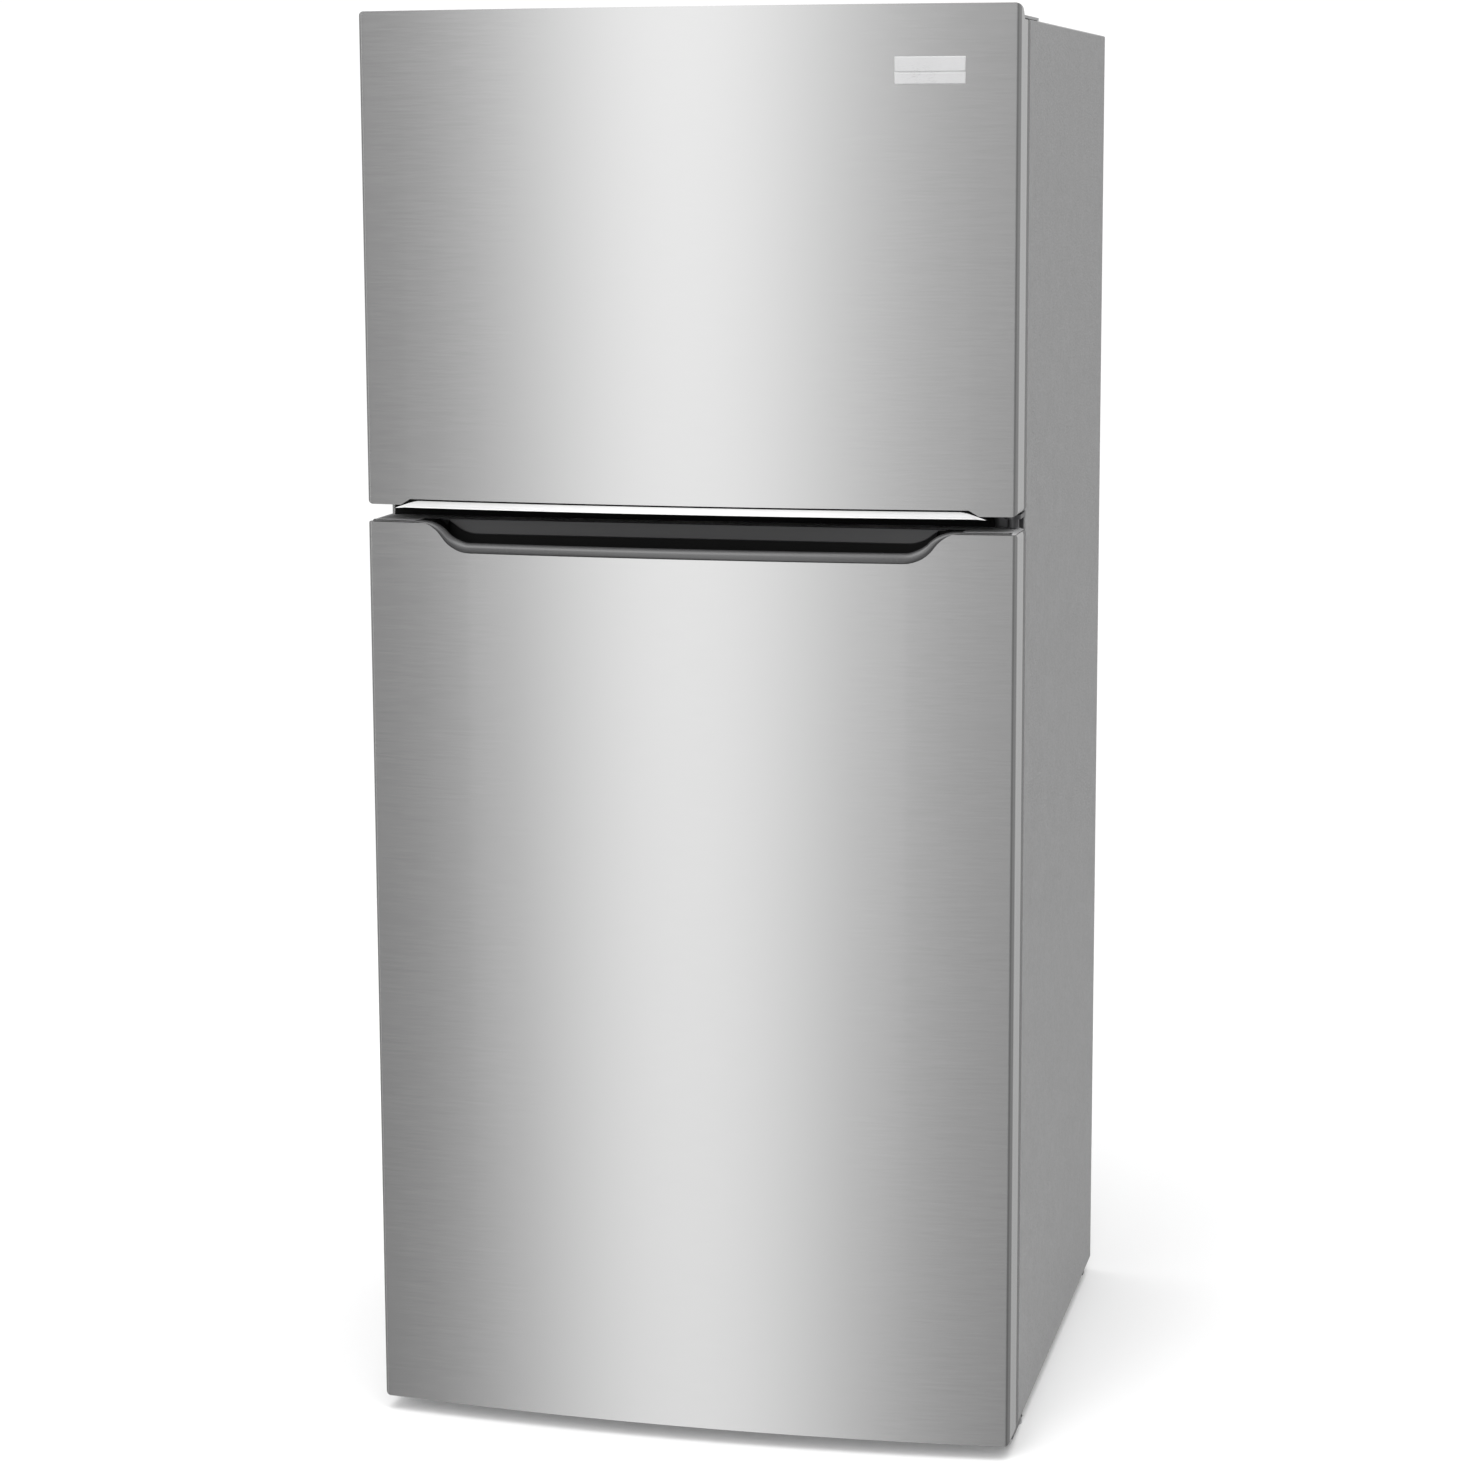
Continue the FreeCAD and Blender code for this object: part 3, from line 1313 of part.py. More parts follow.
def deli_drawer():
    """Full-width shallow drawer that hangs by its rims on the liner's ribs."""
    rim_half = fridge_half - drawer_side_gap
    body_half = rim_half - ledge
    y0 = front + drawer_setback + drawer_rest
    y1 = y0 + deli_depth
    z1 = deli_top
    tub = drawer_tub(-body_half, body_half, y0, y1, z1 - deli_height, z1)
    rim = box(body_half - drawer_wall, rim_half, y0 + drawer_radius, y1 - drawer_radius,
              z1 - liner_sheet, z1)
    grip = drawer_grip(-deli_grip_half, deli_grip_half, y0, z1)
    return fuse([tub, rim, mirrored(rim), grip])


def freezer_shelf():
    """Wire shelf: an outer ring and one cross wire, with thinner wires from front to back."""
    half = freezer_half - wire_shelf_gap
    y0 = front + freezer_shelf_setback
    y1 = evaporator_front - wire_shelf_gap
    z = freezer_floor + freezer_shelf_height + drawer_rest
    wires = []
    for y in (y0 + wire_radius, (y0 + y1) / 2, y1 - wire_radius):
        wires.append(cylinder((-half, y, z), (1, 0, 0), wire_radius, 2 * half))
    for x in (-half + 3 * wire_radius, half - 3 * wire_radius):
        wires.append(cylinder((x, y0 + wire_radius, z), (0, 1, 0), wire_radius,
                              y1 - y0 - 2 * wire_radius))
    thin = 0.6 * wire_radius
    count = round(2 * half / wire_pitch)
    inner = half - 3 * wire_radius
    for number in range(1, count):
        x = -inner + 2 * inner * number / count
        wires.append(cylinder((x, y0 + wire_radius, z + wire_radius - 1.1 * thin), (0, 1, 0), thin,
                              y1 - y0 - 2 * wire_radius))
    return fuse(wires)


# ---------------------------------------------------------------- controls, lamp and ducts

def control_front():
    return front + control_setback


def control_housing():
    """Box under the fresh food ceiling, with two dial shafts and a seat for the lamp cover."""
    y0 = control_front()
    y1 = y0 + control_depth
    half = fridge_half - 2 * liner_radius
    wall = control_wall
    body = rounded_box(-half, half, y0, y1, control_bottom, fridge_ceiling, control_radius)
    room = box(-half + wall, half - wall, y0 + wall, y1 - wall, control_bottom + wall,
               fridge_ceiling + over)
    seat = box(-lamp_width / 2 - soft_gap, lamp_width / 2 + soft_gap, lamp_y() - soft_gap,
               lamp_y() + lamp_depth + soft_gap, control_bottom - over, control_bottom + wall + over)
    shaft_start = y0 - dial_depth + control_wall + 2 * over
    shafts = [cylinder((x, shaft_start, dial_z()), (0, 1, 0), dial_shaft, dial_depth)
              for x in (-dial_x, dial_x)]
    return fuse([body.cut(room).cut(seat)] + shafts)


def lamp_y():
    return control_front() + (control_depth - lamp_depth) / 2


def dial_z():
    return control_bottom + control_height / 2


def lamp_cover():
    """Clear cover under the lamp."""
    half = lamp_width / 2
    y0 = lamp_y()
    y1 = y0 + lamp_depth
    z0 = control_bottom - lamp_drop
    lens = rounded_box(-half, half, y0, y1, z0, control_bottom + control_wall, control_radius)
    room = box(-half + lamp_wall, half - lamp_wall, y0 + lamp_wall, y1 - lamp_wall, z0 + lamp_wall,
               control_bottom + control_wall + over)
    return lens.cut(room)


def dial(x):
    """Control knob with a raised grip bar."""
    y1 = control_front() - dial_gap
    y0 = y1 - dial_depth
    z = dial_z()
    grip_length = dial_radius - dial_gap
    disc = cylinder((x, y1 - dial_depth / 2, z), (0, 1, 0), dial_radius, dial_depth / 2)
    grip = rounded_box(x - dial_grip_half, x + dial_grip_half, y0, y1, z - grip_length,
                       z + grip_length, dial_grip_radius, (0, 1, 0))
    bore = cylinder((x, y0 + dial_face, z), (0, 1, 0), dial_shaft + running_gap, dial_depth)
    return fuse([disc, grip]).cut(bore)


def switch_plunger():
    x = -fridge_half - plunger_inset
    z = fridge_ceiling - plunger_drop
    return cylinder((x, door_back + soft_gap, z), (0, 1, 0), plunger_radius, plunger_length)


def air_duct():
    """Cold air duct on the fresh food compartment's back wall."""
    z0 = shelf_tops[0] + shelf_rear_gap
    z1 = control_bottom
    y0 = fridge_rear - duct_depth
    duct = rounded_box(-duct_width / 2, duct_width / 2, y0, fridge_rear, z0, z1, duct_radius)
    for step in range(int((z1 - z0) / vent_pitch)):
        z = z0 + (step + 0.5) * vent_pitch
        duct = duct.cut(box(-duct_width / 4, duct_width / 4, y0 - over, y0 + vent_deep, z,
                            z + vent_height))
    return duct


# ---------------------------------------------------------------- cooling parts

def tube_and_fin_coil(x0, x1, y0, y1, z0, z1, tube_rows, tube_layers, fin_count):
    """Straight tubes through upright fins."""
    pieces = []
    for layer in range(tube_layers):
        y = y0 + (y1 - y0) * (layer + 0.5) / tube_layers
        for row in range(tube_rows):
            z = z0 + (z1 - z0) * (row + 0.5) / tube_rows
            pieces.append(cylinder((x0, y, z), (1, 0, 0), coil_tube, x1 - x0))
    pitch = (x1 - x0 - 2 * coil_end - coil_fin) / (fin_count - 1)
    for number in range(fin_count):
        x = x0 + coil_end + pitch * number
        pieces.append(box(x, x + coil_fin, y0, y1, z0, z1))
    return fuse(pieces)


def axial_fan():
    """Fan on the Z axis at the origin, with a blind bore for its shaft."""
    middle = fan_depth / 2
    pieces = [cylinder((0, 0, 0), (0, 0, 1), fan_hub, fan_depth)]
    for number in range(fan_blades):
        blade = box(fan_hub - 2 * over, fan_radius, -blade_half, blade_half, middle - blade_thick / 2,
                    middle + blade_thick / 2)
        blade.rotate(Vector(0, 0, middle), Vector(1, 0, 0), blade_pitch)
        blade.rotate(Vector(0, 0, 0), Vector(0, 0, 1), 360 * number / fan_blades)
        pieces.append(blade)
    tips = cylinder((0, 0, 0), (0, 0, 1), fan_radius, fan_depth)
    fan = fuse(pieces).common(tips)
    return fan.cut(cylinder((0, 0, fan_shaft), (0, 0, 1), fan_shaft + running_gap, fan_depth))


def fan_mount():
    """Ring, struts, motor and shaft for axial_fan, in the fan's own axes."""
    inner = fan_radius + fan_tip_gap
    outer = inner + fan_ring
    ring = cylinder((0, 0, 0), (0, 0, 1), outer, fan_depth)
    ring = ring.cut(cylinder((0, 0, -over), (0, 0, 1), inner, fan_depth + 2 * over))
    motor_z = fan_depth + motor_gap
    motor = cylinder((0, 0, motor_z), (0, 0, 1), motor_radius, motor_length)
    shaft_z = fan_shaft + panel_gap
    shaft = cylinder((0, 0, shaft_z), (0, 0, 1), fan_shaft, motor_z - shaft_z + over)
    struts = []
    for number in range(3):
        strut = box(0, outer, -strut_half, strut_half, motor_z, motor_z + strut_half)
        leg = box(inner, outer, -strut_half, strut_half, 0, motor_z + strut_half)
        both = fuse([strut, leg])
        both.rotate(Vector(0, 0, 0), Vector(0, 0, 1), 90 + 120 * number)
        struts.append(both)
    return fuse([ring, motor, shaft] + struts)


def evaporator_fan_place():
    """Moves a fan from its own axes to its place behind the freezer's rear cover."""
    z = freezer_ceiling - 2 * fan_radius
    return FreeCAD.Placement(Vector(0, evaporator_front + fan_behind_panel, z),
                             FreeCAD.Rotation(Vector(1, 0, 0), -90))


def condenser_fan_place():
    z = base_top + fan_radius + fan_tip_gap + fan_ring + condenser_fan_rise
    return FreeCAD.Placement(Vector(condenser_fan_x, (machine_front + rear) / 2, z),
                             FreeCAD.Rotation(Vector(0, 1, 0), 90))


def placed(shape, placement):
    moved = shape.copy()
    moved.Placement = placement.multiply(shape.Placement)
    return moved


def panel_slots():
    """Air slots of the freezer's rear cover: two blocks of outlets and a row of returns."""
    y0 = evaporator_front - over
    y1 = evaporator_front + panel_thick + over
    slots = []
    for middle in (-panel_slot_x, panel_slot_x):
        for row in range(panel_slot_rows):
            z = freezer_ceiling - evaporator_margin - row * 2.3 * panel_slot
            slots.append(box(middle - panel_slot_length / 2, middle + panel_slot_length / 2, y0, y1,
                             z, z + panel_slot))
    pitch = 2 * (freezer_half - evaporator_margin) / return_slots
    z = freezer_floor + 2 * panel_slot
    for column in range(return_slots):
        x = -freezer_half + evaporator_margin + (column + 0.5) * pitch
        slots.append(box(x - return_slot_length / 2, x + return_slot_length / 2, y0, y1, z,
                         z + panel_slot))
    return slots


def fan_grille(centre):
    """Ring-shaped slots in front of the evaporator fan, crossed by three bars."""
    y0 = evaporator_front
    slots = []
    for ring in range(grille_rings):
        radius = fan_radius - fan_ring - grille_step * ring
        slot = cylinder((centre.x, y0 - over, centre.z), (0, 1, 0), radius, panel_thick + 2 * over)
        slot = slot.cut(cylinder((centre.x, y0 - over, centre.z), (0, 1, 0), radius - panel_slot,
                                 panel_thick + 2 * over))
        for angle in (0, 60, 120):
            bar = box(centre.x - 2 * fan_radius, centre.x + 2 * fan_radius, y0 - 2 * over,
                      y0 + panel_thick + 2 * over, centre.z - strut_half, centre.z + strut_half)
            bar.rotate(centre, Vector(0, 1, 0), angle)
            slot = slot.cut(bar)
        slots.append(slot)
    return slots


def evaporator_cover():
    """Panel across the freezer's back, with air slots, carrying the fan's motor."""
    y0 = evaporator_front
    half = freezer_half - panel_gap
    panel = rounded_box(-half, half, y0, y0 + panel_thick, freezer_floor + panel_gap,
                        freezer_ceiling - panel_gap, liner_radius, (0, 1, 0))
    place = evaporator_fan_place()
    centre = place.Base
    for slot in panel_slots() + fan_grille(centre):
        panel = panel.cut(slot)
    collar_length = fan_behind_panel - panel_thick
    inner = fan_radius + fan_tip_gap
    collar = cylinder((centre.x, y0 + panel_thick, centre.z), (0, 1, 0), inner + fan_ring,
                      collar_length)
    collar = collar.cut(cylinder((centre.x, y0, centre.z), (0, 1, 0), inner,
                                 panel_thick + 2 * collar_length))
    return fuse([panel, collar, placed(fan_mount(), place)])


def evaporator_coil():
    half = freezer_half - evaporator_margin
    z0 = freezer_floor + evaporator_rise
    return tube_and_fin_coil(-half, half, freezer_rear - evaporator_depth, freezer_rear, z0,
                             z0 + evaporator_height, 5, 2, 27)


def condenser_fan_bracket():
    """Plate across the compressor space that carries the condenser fan."""
    place = condenser_fan_place()
    x, y, z = place.Base
    plate = box(x - base_sheet, x, machine_front + bracket_margin, rear - bracket_margin, base_top,
                machine_top - bracket_margin)
    plate = plate.cut(cylinder((x - 2 * base_sheet, y, z), (1, 0, 0), fan_radius + fan_tip_gap,
                               3 * base_sheet))
    return fuse([plate, placed(fan_mount(), place)])


def condenser_coil():
    """Condenser, standing on its two end plates."""
    x0 = -side + condenser_inset
    x1 = condenser_fan_x - condenser_gap
    y0 = machine_front + coil_margin
    y1 = rear - coil_margin
    z1 = machine_top - coil_margin
    pieces = [tube_and_fin_coil(x0, x1, y0, y1, base_top + coil_rise, z1, 4, 4, 19)]
    for x in (x0 + coil_end, x1 - coil_end - coil_fin):
        pieces.append(box(x, x + coil_fin, y0, y1, base_top, z1))
    return fuse(pieces)


def grommet_places():
    y = (machine_front + rear) / 2
    return [(compressor_x + dx, y + dy) for dx in (-grommet_x, grommet_x)
            for dy in (-grommet_y, grommet_y)]


def compressor():
    """Hermetic can with domed ends, on a foot plate, with a terminal box and three pipe stubs."""
    y = (machine_front + rear) / 2
    x = compressor_x
    z0 = base_top + grommet_height
    plate_top = z0 + compressor_foot
    can = cylinder((x, y, plate_top), (0, 0, 1), compressor_radius, compressor_body)
    can = can.makeFillet(compressor_dome, [e for e in can.Edges if isinstance(e.Curve, Part.Circle)])
    plate = rounded_box(x - foot_half_x, x + foot_half_x, y - foot_half_y, y + foot_half_y, z0,
                        plate_top, 2 * stub_radius)
    neck_radius = compressor_radius - compressor_dome - stub_radius
    neck = cylinder((x, y, z0), (0, 0, 1), neck_radius, 4 * compressor_foot)
    seam = cylinder((x, y, z0 + compressor_seam), (0, 0, 1), compressor_radius + seam_rim, seam_height)
    half_depth, half_width, rise, height = terminal_box
    box_x = x - compressor_radius
    terminals = rounded_box(box_x - half_depth, box_x + half_depth, y - half_width, y + half_width,
                            z0 + rise, z0 + rise + height, stub_radius)
    stubs = [cylinder((x + dx, y - compressor_radius + coil_margin, z0 + dz), (0, -1, 0),
                      stub_radius, 1.5 * coil_margin) for dx, dz in stub_places]
    shape = fuse([can, plate, neck, seam, terminals] + stubs)
    for hole_x, hole_y in grommet_places():
        shape = shape.cut(cylinder((hole_x, hole_y, z0 - over), (0, 0, 1), grommet_neck + soft_gap,
                                   2 * compressor_foot))
    return shape


def compressor_grommets():
    """Four rubber feet, each with a neck up through the foot plate."""
    grommets = []
    for x, y in grommet_places():
        body = cylinder((x, y, base_top), (0, 0, 1), grommet_radius, grommet_height)
        neck = cylinder((x, y, base_top), (0, 0, 1), grommet_neck,
                        grommet_height + 2 * compressor_foot)
        grommets.append(fuse([body, neck]))
    return grommets


# ---------------------------------------------------------------- all nodes

def build():
    os.makedirs("parts", exist_ok=True)
    save("cabinet_wrapper", cabinet_wrapper())
    save("back_panel", back_panel())
    save("cabinet_foam", *cabinet_foam())
    save("freezer_liner", freezer_liner())
    save("fridge_liner", fridge_liner())
    save("divider_rail", drilled(divider_rail(), centre_screw_holes()))
    save("base_frame", *[drilled(piece, bottom_screw_holes()) for piece in base_frame()])
    save("machine_cover", machine_cover())
    save("cord_gland", cord_gland())
    foot = levelling_foot()
    save("foot_right", foot)
    save("foot_left", mirrored(foot))
    roller = rear_roller()
    save("roller_right", roller)
    save("roller_left", mirrored(roller))
    save("top_hinge", top_hinge())
    save("top_hinge_cover", top_hinge_cover())
    save("centre_hinge", centre_hinge())
    save("bottom_hinge", bottom_hinge())
    save("hinge_screws", *hinge_screws())
    for name, solids in list(freezer_door().items()) + list(fridge_door().items()):
        save(name, *solids)
    save("shelf_rims", *[shelf_rim_frame(z) for z in shelf_tops])
    arms = [arm_plate for z in shelf_tops for arm_plate in shelf_arms(z)]
    save("shelf_supports", *shelf_tracks(), *arms)
    save("shelf_glass", *[glass_plan(z, 0) for z in shelf_tops], cover_glass(0))
    save("crisper_cover", crisper_cover_frame())
    left_middle, right_middle = slider_places()
    save("humidity_slider_left", humidity_slider(left_middle))
    save("humidity_slider_right", humidity_slider(right_middle))
    right_crisper = crisper()
    save("crisper_right", right_crisper)
    save("crisper_left", mirrored(right_crisper))
    save("deli_drawer", deli_drawer())
    save("freezer_shelf", freezer_shelf())
    save("control_housing", control_housing())
    save("lamp_cover", lamp_cover())
    save("fridge_dial", dial(-dial_x))
    save("freezer_dial", dial(dial_x))
    save("switch_plunger", switch_plunger())
    save("air_duct", air_duct())
    save("evaporator_cover", evaporator_cover())
    save("evaporator_coil", evaporator_coil())
    save("evaporator_fan", placed(axial_fan(), evaporator_fan_place()))
    save("condenser_fan_bracket", condenser_fan_bracket())
    save("condenser_fan", placed(axial_fan(), condenser_fan_place()))
    save("condenser_coil", condenser_coil())
    save("compressor", compressor())
    save("compressor_grommets", *compressor_grommets())


build()
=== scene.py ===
"""Looks of a top freezer refrigerator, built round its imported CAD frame. Metres, in the CAD's frame."""
import json
import math

import bmesh
import bpy
from mathutils import Matrix, Vector


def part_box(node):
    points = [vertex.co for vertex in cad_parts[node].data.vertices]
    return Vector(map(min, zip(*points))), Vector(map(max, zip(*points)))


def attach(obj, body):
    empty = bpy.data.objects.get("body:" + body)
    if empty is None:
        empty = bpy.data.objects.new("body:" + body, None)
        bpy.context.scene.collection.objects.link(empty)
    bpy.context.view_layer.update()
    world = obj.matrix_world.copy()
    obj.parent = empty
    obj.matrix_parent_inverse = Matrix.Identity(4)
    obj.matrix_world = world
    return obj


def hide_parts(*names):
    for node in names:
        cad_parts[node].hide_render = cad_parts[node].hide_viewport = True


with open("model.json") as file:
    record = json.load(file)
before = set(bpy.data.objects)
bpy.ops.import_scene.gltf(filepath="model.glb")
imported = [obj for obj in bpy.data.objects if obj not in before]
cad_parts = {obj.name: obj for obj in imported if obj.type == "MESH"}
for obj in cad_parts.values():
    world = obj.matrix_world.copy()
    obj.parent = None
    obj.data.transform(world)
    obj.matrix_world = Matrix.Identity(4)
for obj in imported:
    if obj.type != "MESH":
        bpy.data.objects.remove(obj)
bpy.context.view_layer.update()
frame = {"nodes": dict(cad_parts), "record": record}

nodes = frame["nodes"]

# -------------------------------- studio

CAMERA_PLACE = (0.9684, -4.1202, 1.5073)
CAMERA_YAW = 13.57          # degrees, turned to the viewer's left
CAMERA_PITCH = 8.737        # degrees, looking down
CAMERA_ROLL = -0.233
CAMERA_LENS = 84.26         # millimetres, on a 36 mm sensor
CAMERA_SHIFT = -0.04

BACKDROP = 1.05             # radiance that the camera sees behind the floor
FLOOR_FADE_START = 1.6      # metres from the middle of the object
FLOOR_FADE_END = 3.2
FLOOR_GLOW = 0.11           # lifts the shadow under the doors
# upright soft lights round the object: azimuth in degrees from the front to the viewer's right, its
# width, and strength
ENV_LOBES = ((-14.4, 10.1, 1.51), (-58.0, 13.0, 0.56), (152.0, 38.0, 0.52), (-128.0, 40.0, 0.30),
             (72.0, 30.0, 0.20))
ENV_RISE = 0.25             # how much brighter all of it gets towards straight up
ENV_BASE = 0.155            # fill light from all round
FILL_LOBE = (10.0, 14.0, 0.26)      # more fill light ahead, azimuth, width and strength
FILL_DIP = 2.2              # fill light lost downwards, by the square of how far down
FILL_LEAST = 0.6            # part of the fill light that stays
# a lamp well above the doors: azimuth and width, height and its width as parts of straight up, strength
HIGH_LAMP = (-38.0, 27.0, 0.55, 0.20, 2.7)

# square lights that polished faces don't mirror: place, target, width, watts
LAMPS = {"overhead": ((0.3, -0.6, 4.2), (0.0, 0.0, 0.0), 5.0, 240.0),
         "front": ((0.4, -4.5, 2.4), (0.0, 0.0, 0.9), 3.0, 42.0)}


def feed(node, inputs):
    """Sets a node's inputs to values, or links them to outputs of other nodes."""
    for key, value in inputs.items():
        if isinstance(value, bpy.types.NodeSocket):
            node.id_data.links.new(value, node.inputs[key])
        else:
            node.inputs[key].default_value = value
    return node


def new_node(tree, kind, inputs=()):
    return feed(tree.nodes.new("ShaderNode" + kind), dict(inputs))


def math_node(tree, operation, first, second=0.0):
    node = new_node(tree, "Math", {0: first, 1: second})
    node.operation = operation
    return node.outputs[0]


def lobe(tree, value, centre, width, strength):
    """A soft bump of light round one value."""
    share = math_node(tree, "DIVIDE", math_node(tree, "SUBTRACT", value, centre), width)
    square = math_node(tree, "MULTIPLY", share, share)
    fall = math_node(tree, "EXPONENT", math_node(tree, "MULTIPLY", square, -1.0))
    return math_node(tree, "MULTIPLY", fall, strength)


def azimuth_lobe(tree, azimuth, light):
    """A soft bump of light round one direction, given in degrees."""
    centre, width, strength = light
    return lobe(tree, azimuth, math.radians(centre), math.radians(width), strength)


def make_world():
    """White as the camera sees it, and for the object a studio of upright lights and a high lamp."""
    world = bpy.data.worlds.new("studio")
    bpy.context.scene.world = world
    world.use_nodes = True
    tree = world.node_tree
    tree.nodes.clear()
    place = new_node(tree, "TexCoord").outputs["Generated"]
    x, y, z = new_node(tree, "SeparateXYZ", {0: place}).outputs
    azimuth = math_node(tree, "ARCTAN2", x, math_node(tree, "MULTIPLY", y, -1.0))
    rise = math_node(tree, "ADD", math_node(tree, "MULTIPLY", z, ENV_RISE), 1.0)
    below = math_node(tree, "MINIMUM", z, 0.0)
    dip = math_node(tree, "MULTIPLY", math_node(tree, "MULTIPLY", below, below), FILL_DIP)
    fill = math_node(tree, "ADD", azimuth_lobe(tree, azimuth, FILL_LOBE), ENV_BASE)
    fade = math_node(tree, "MAXIMUM", math_node(tree, "SUBTRACT", rise, dip), FILL_LEAST)
    level = math_node(tree, "MULTIPLY", fill, fade)
    for light in ENV_LOBES:
        tall = math_node(tree, "MULTIPLY", azimuth_lobe(tree, azimuth, light), rise)
        level = math_node(tree, "ADD", tall, level)
    centre, width, height, reach, strength = HIGH_LAMP
    high = math_node(tree, "MULTIPLY", azimuth_lobe(tree, azimuth, (centre, width, strength)),
                     lobe(tree, z, height, reach, 1.0))
    level = math_node(tree, "ADD", high, level)
    studio, white = (new_node(tree, "Background", {"Color": (1, 1, 1, 1), "Strength": strength})
                     for strength in (level, BACKDROP))
    seen = new_node(tree, "LightPath").outputs["Is Camera Ray"]
    mix = new_node(tree, "MixShader", {"Fac": seen, 1: studio.outputs[0], 2: white.outputs[0]})
    new_node(tree, "OutputWorld", {"Surface": mix.outputs[0]})


def add_object(name, data):
    thing = bpy.data.objects.new(name, data)
    bpy.context.scene.collection.objects.link(thing)
    return thing


def make_lamps():
    for name, (place, target, width, power) in LAMPS.items():
        data = bpy.data.lights.new(name, "AREA")
        data.shape = "RECTANGLE"
        data.size = data.size_y = width
        data.energy = power
        lamp = add_object(name, data)
        lamp.location = place
        lamp.rotation_euler = (Vector(target) - Vector(place)).to_track_quat("-Z", "Y").to_euler()
        lamp.visible_glossy = False


def make_floor():
    """Pale floor that fades into the backdrop, and which the polished faces don't mirror."""
    mesh = bpy.data.meshes.new("floor")
    reach = 2 * FLOOR_FADE_END
    corners = [(-reach, -reach, 0), (reach, -reach, 0), (reach, reach, 0), (-reach, reach, 0)]
    mesh.from_pydata(corners, [], [(0, 1, 2, 3)])
    floor = add_object("floor", mesh)
    material, shader, tree = new_material("floor_paint")
    distance = new_node(tree, "VectorMath", {0: object_place(tree)})
    distance.operation = "LENGTH"
    fade = ramp(tree, distance.outputs["Value"], 1.0, 0.0, FLOOR_FADE_START, FLOOR_FADE_END)
    feed(shader, {"Base Color": (0.80, 0.80, 0.80, 1), "Roughness": 0.8, "Alpha": fade,
                  "Emission Color": (1, 1, 1, 1), "Emission Strength": FLOOR_GLOW})
    floor.data.materials.append(material)
    floor.visible_glossy = False


def make_camera():
    data = bpy.data.cameras.new("camera")
    data.lens = CAMERA_LENS
    data.sensor_width = 36.0
    data.shift_y = CAMERA_SHIFT
    data.clip_end = 200.0
    camera = add_object("camera", data)
    turn = Matrix.Rotation(math.radians(CAMERA_YAW), 4, "Z")
    tilt = Matrix.Rotation(math.radians(90.0 - CAMERA_PITCH), 4, "X")
    roll = Matrix.Rotation(math.radians(CAMERA_ROLL), 4, "Z")
    camera.matrix_world = Matrix.Translation(CAMERA_PLACE) @ turn @ tilt @ roll
    bpy.context.scene.camera = camera


# -------------------------------- materials

def new_material(name):
    """A material with one Principled shader: the material, the shader and the node tree."""
    material = bpy.data.materials.new(name)
    material.use_nodes = True
    tree = material.node_tree
    tree.nodes.clear()
    shader = new_node(tree, "BsdfPrincipled")
    new_node(tree, "OutputMaterial", {"Surface": shader.outputs[0]})
    return material, shader, tree


def object_place(tree):
    """The object's own coordinates, in metres."""
    return new_node(tree, "TexCoord").outputs["Object"]


def noise(tree, scale, stretch=(1, 1, 1), detail=3.0, roughness=0.5):
    """Noise: scale is per metre, and stretch multiplies it along X, Y, Z."""
    scales = [scale * part for part in stretch]
    place = new_node(tree, "Mapping", {"Vector": object_place(tree), "Scale": scales}).outputs[0]
    return new_node(tree, "TexNoise", {"Vector": place, "Scale": 1.0, "Detail": detail,
                                       "Roughness": roughness}).outputs["Fac"]


def cells(tree, scale, smooth=0.0):
    """Distance to the nearest cell's middle, scale per metre."""
    texture = tree.nodes.new("ShaderNodeTexVoronoi")
    if smooth:
        texture.feature = "SMOOTH_F1"
        texture.inputs["Smoothness"].default_value = smooth
    return feed(texture, {"Vector": object_place(tree), "Scale": scale}).outputs["Distance"]


def ramp(tree, value, low, high, from_low=0.3, from_high=0.7):
    """Maps a value onto low to high."""
    return new_node(tree, "MapRange", {"Value": value, "From Min": from_low, "From Max": from_high,
                                       "To Min": low, "To Max": high}).outputs[0]


def blend(tree, first, first_part, second, second_part=1.0):
    """Sum of two values, each times its part."""
    return math_node(tree, "ADD", math_node(tree, "MULTIPLY", first, first_part),
                     math_node(tree, "MULTIPLY", second, second_part))


def mix_colours(tree, share, first, second):
    node = tree.nodes.new("ShaderNodeMix")
    node.data_type = "RGBA"
    return feed(node, {"Factor": share, "A": first, "B": second}).outputs["Result"]


def tint(tree, value, colour, dark, light, from_low=0.3, from_high=0.7):
    """A colour times dark to light, by a value."""
    ends = [(*(min(1.0, c * factor) for c in colour), 1) for factor in (dark, light)]
    return mix_colours(tree, ramp(tree, value, 0, 1, from_low, from_high), *ends)


def bump(tree, height, distance, strength):
    inputs = {"Height": height, "Distance": distance, "Strength": strength}
    return new_node(tree, "Bump", inputs).outputs[0]


def brushed_metal(name, colour, rough, grain, contrast):
    """Metal brushed along the floor: fine hairlines, with a few longer and fainter ones."""
    material, shader, tree = new_material(name)
    fine = noise(tree, grain, (0.02, 0.02, 1.0), 2.0)
    both = blend(tree, fine, 0.5, noise(tree, grain * 0.3, (0.03, 0.03, 1.0)), 0.5)
    feed(shader, {"Base Color": tint(tree, both, colour, 1 - contrast, 1 + contrast), "Metallic": 1.0,
                  "Roughness": ramp(tree, both, rough - 0.02, rough + 0.02),
                  "Normal": bump(tree, fine, 0.000004, 0.3)})
    return material


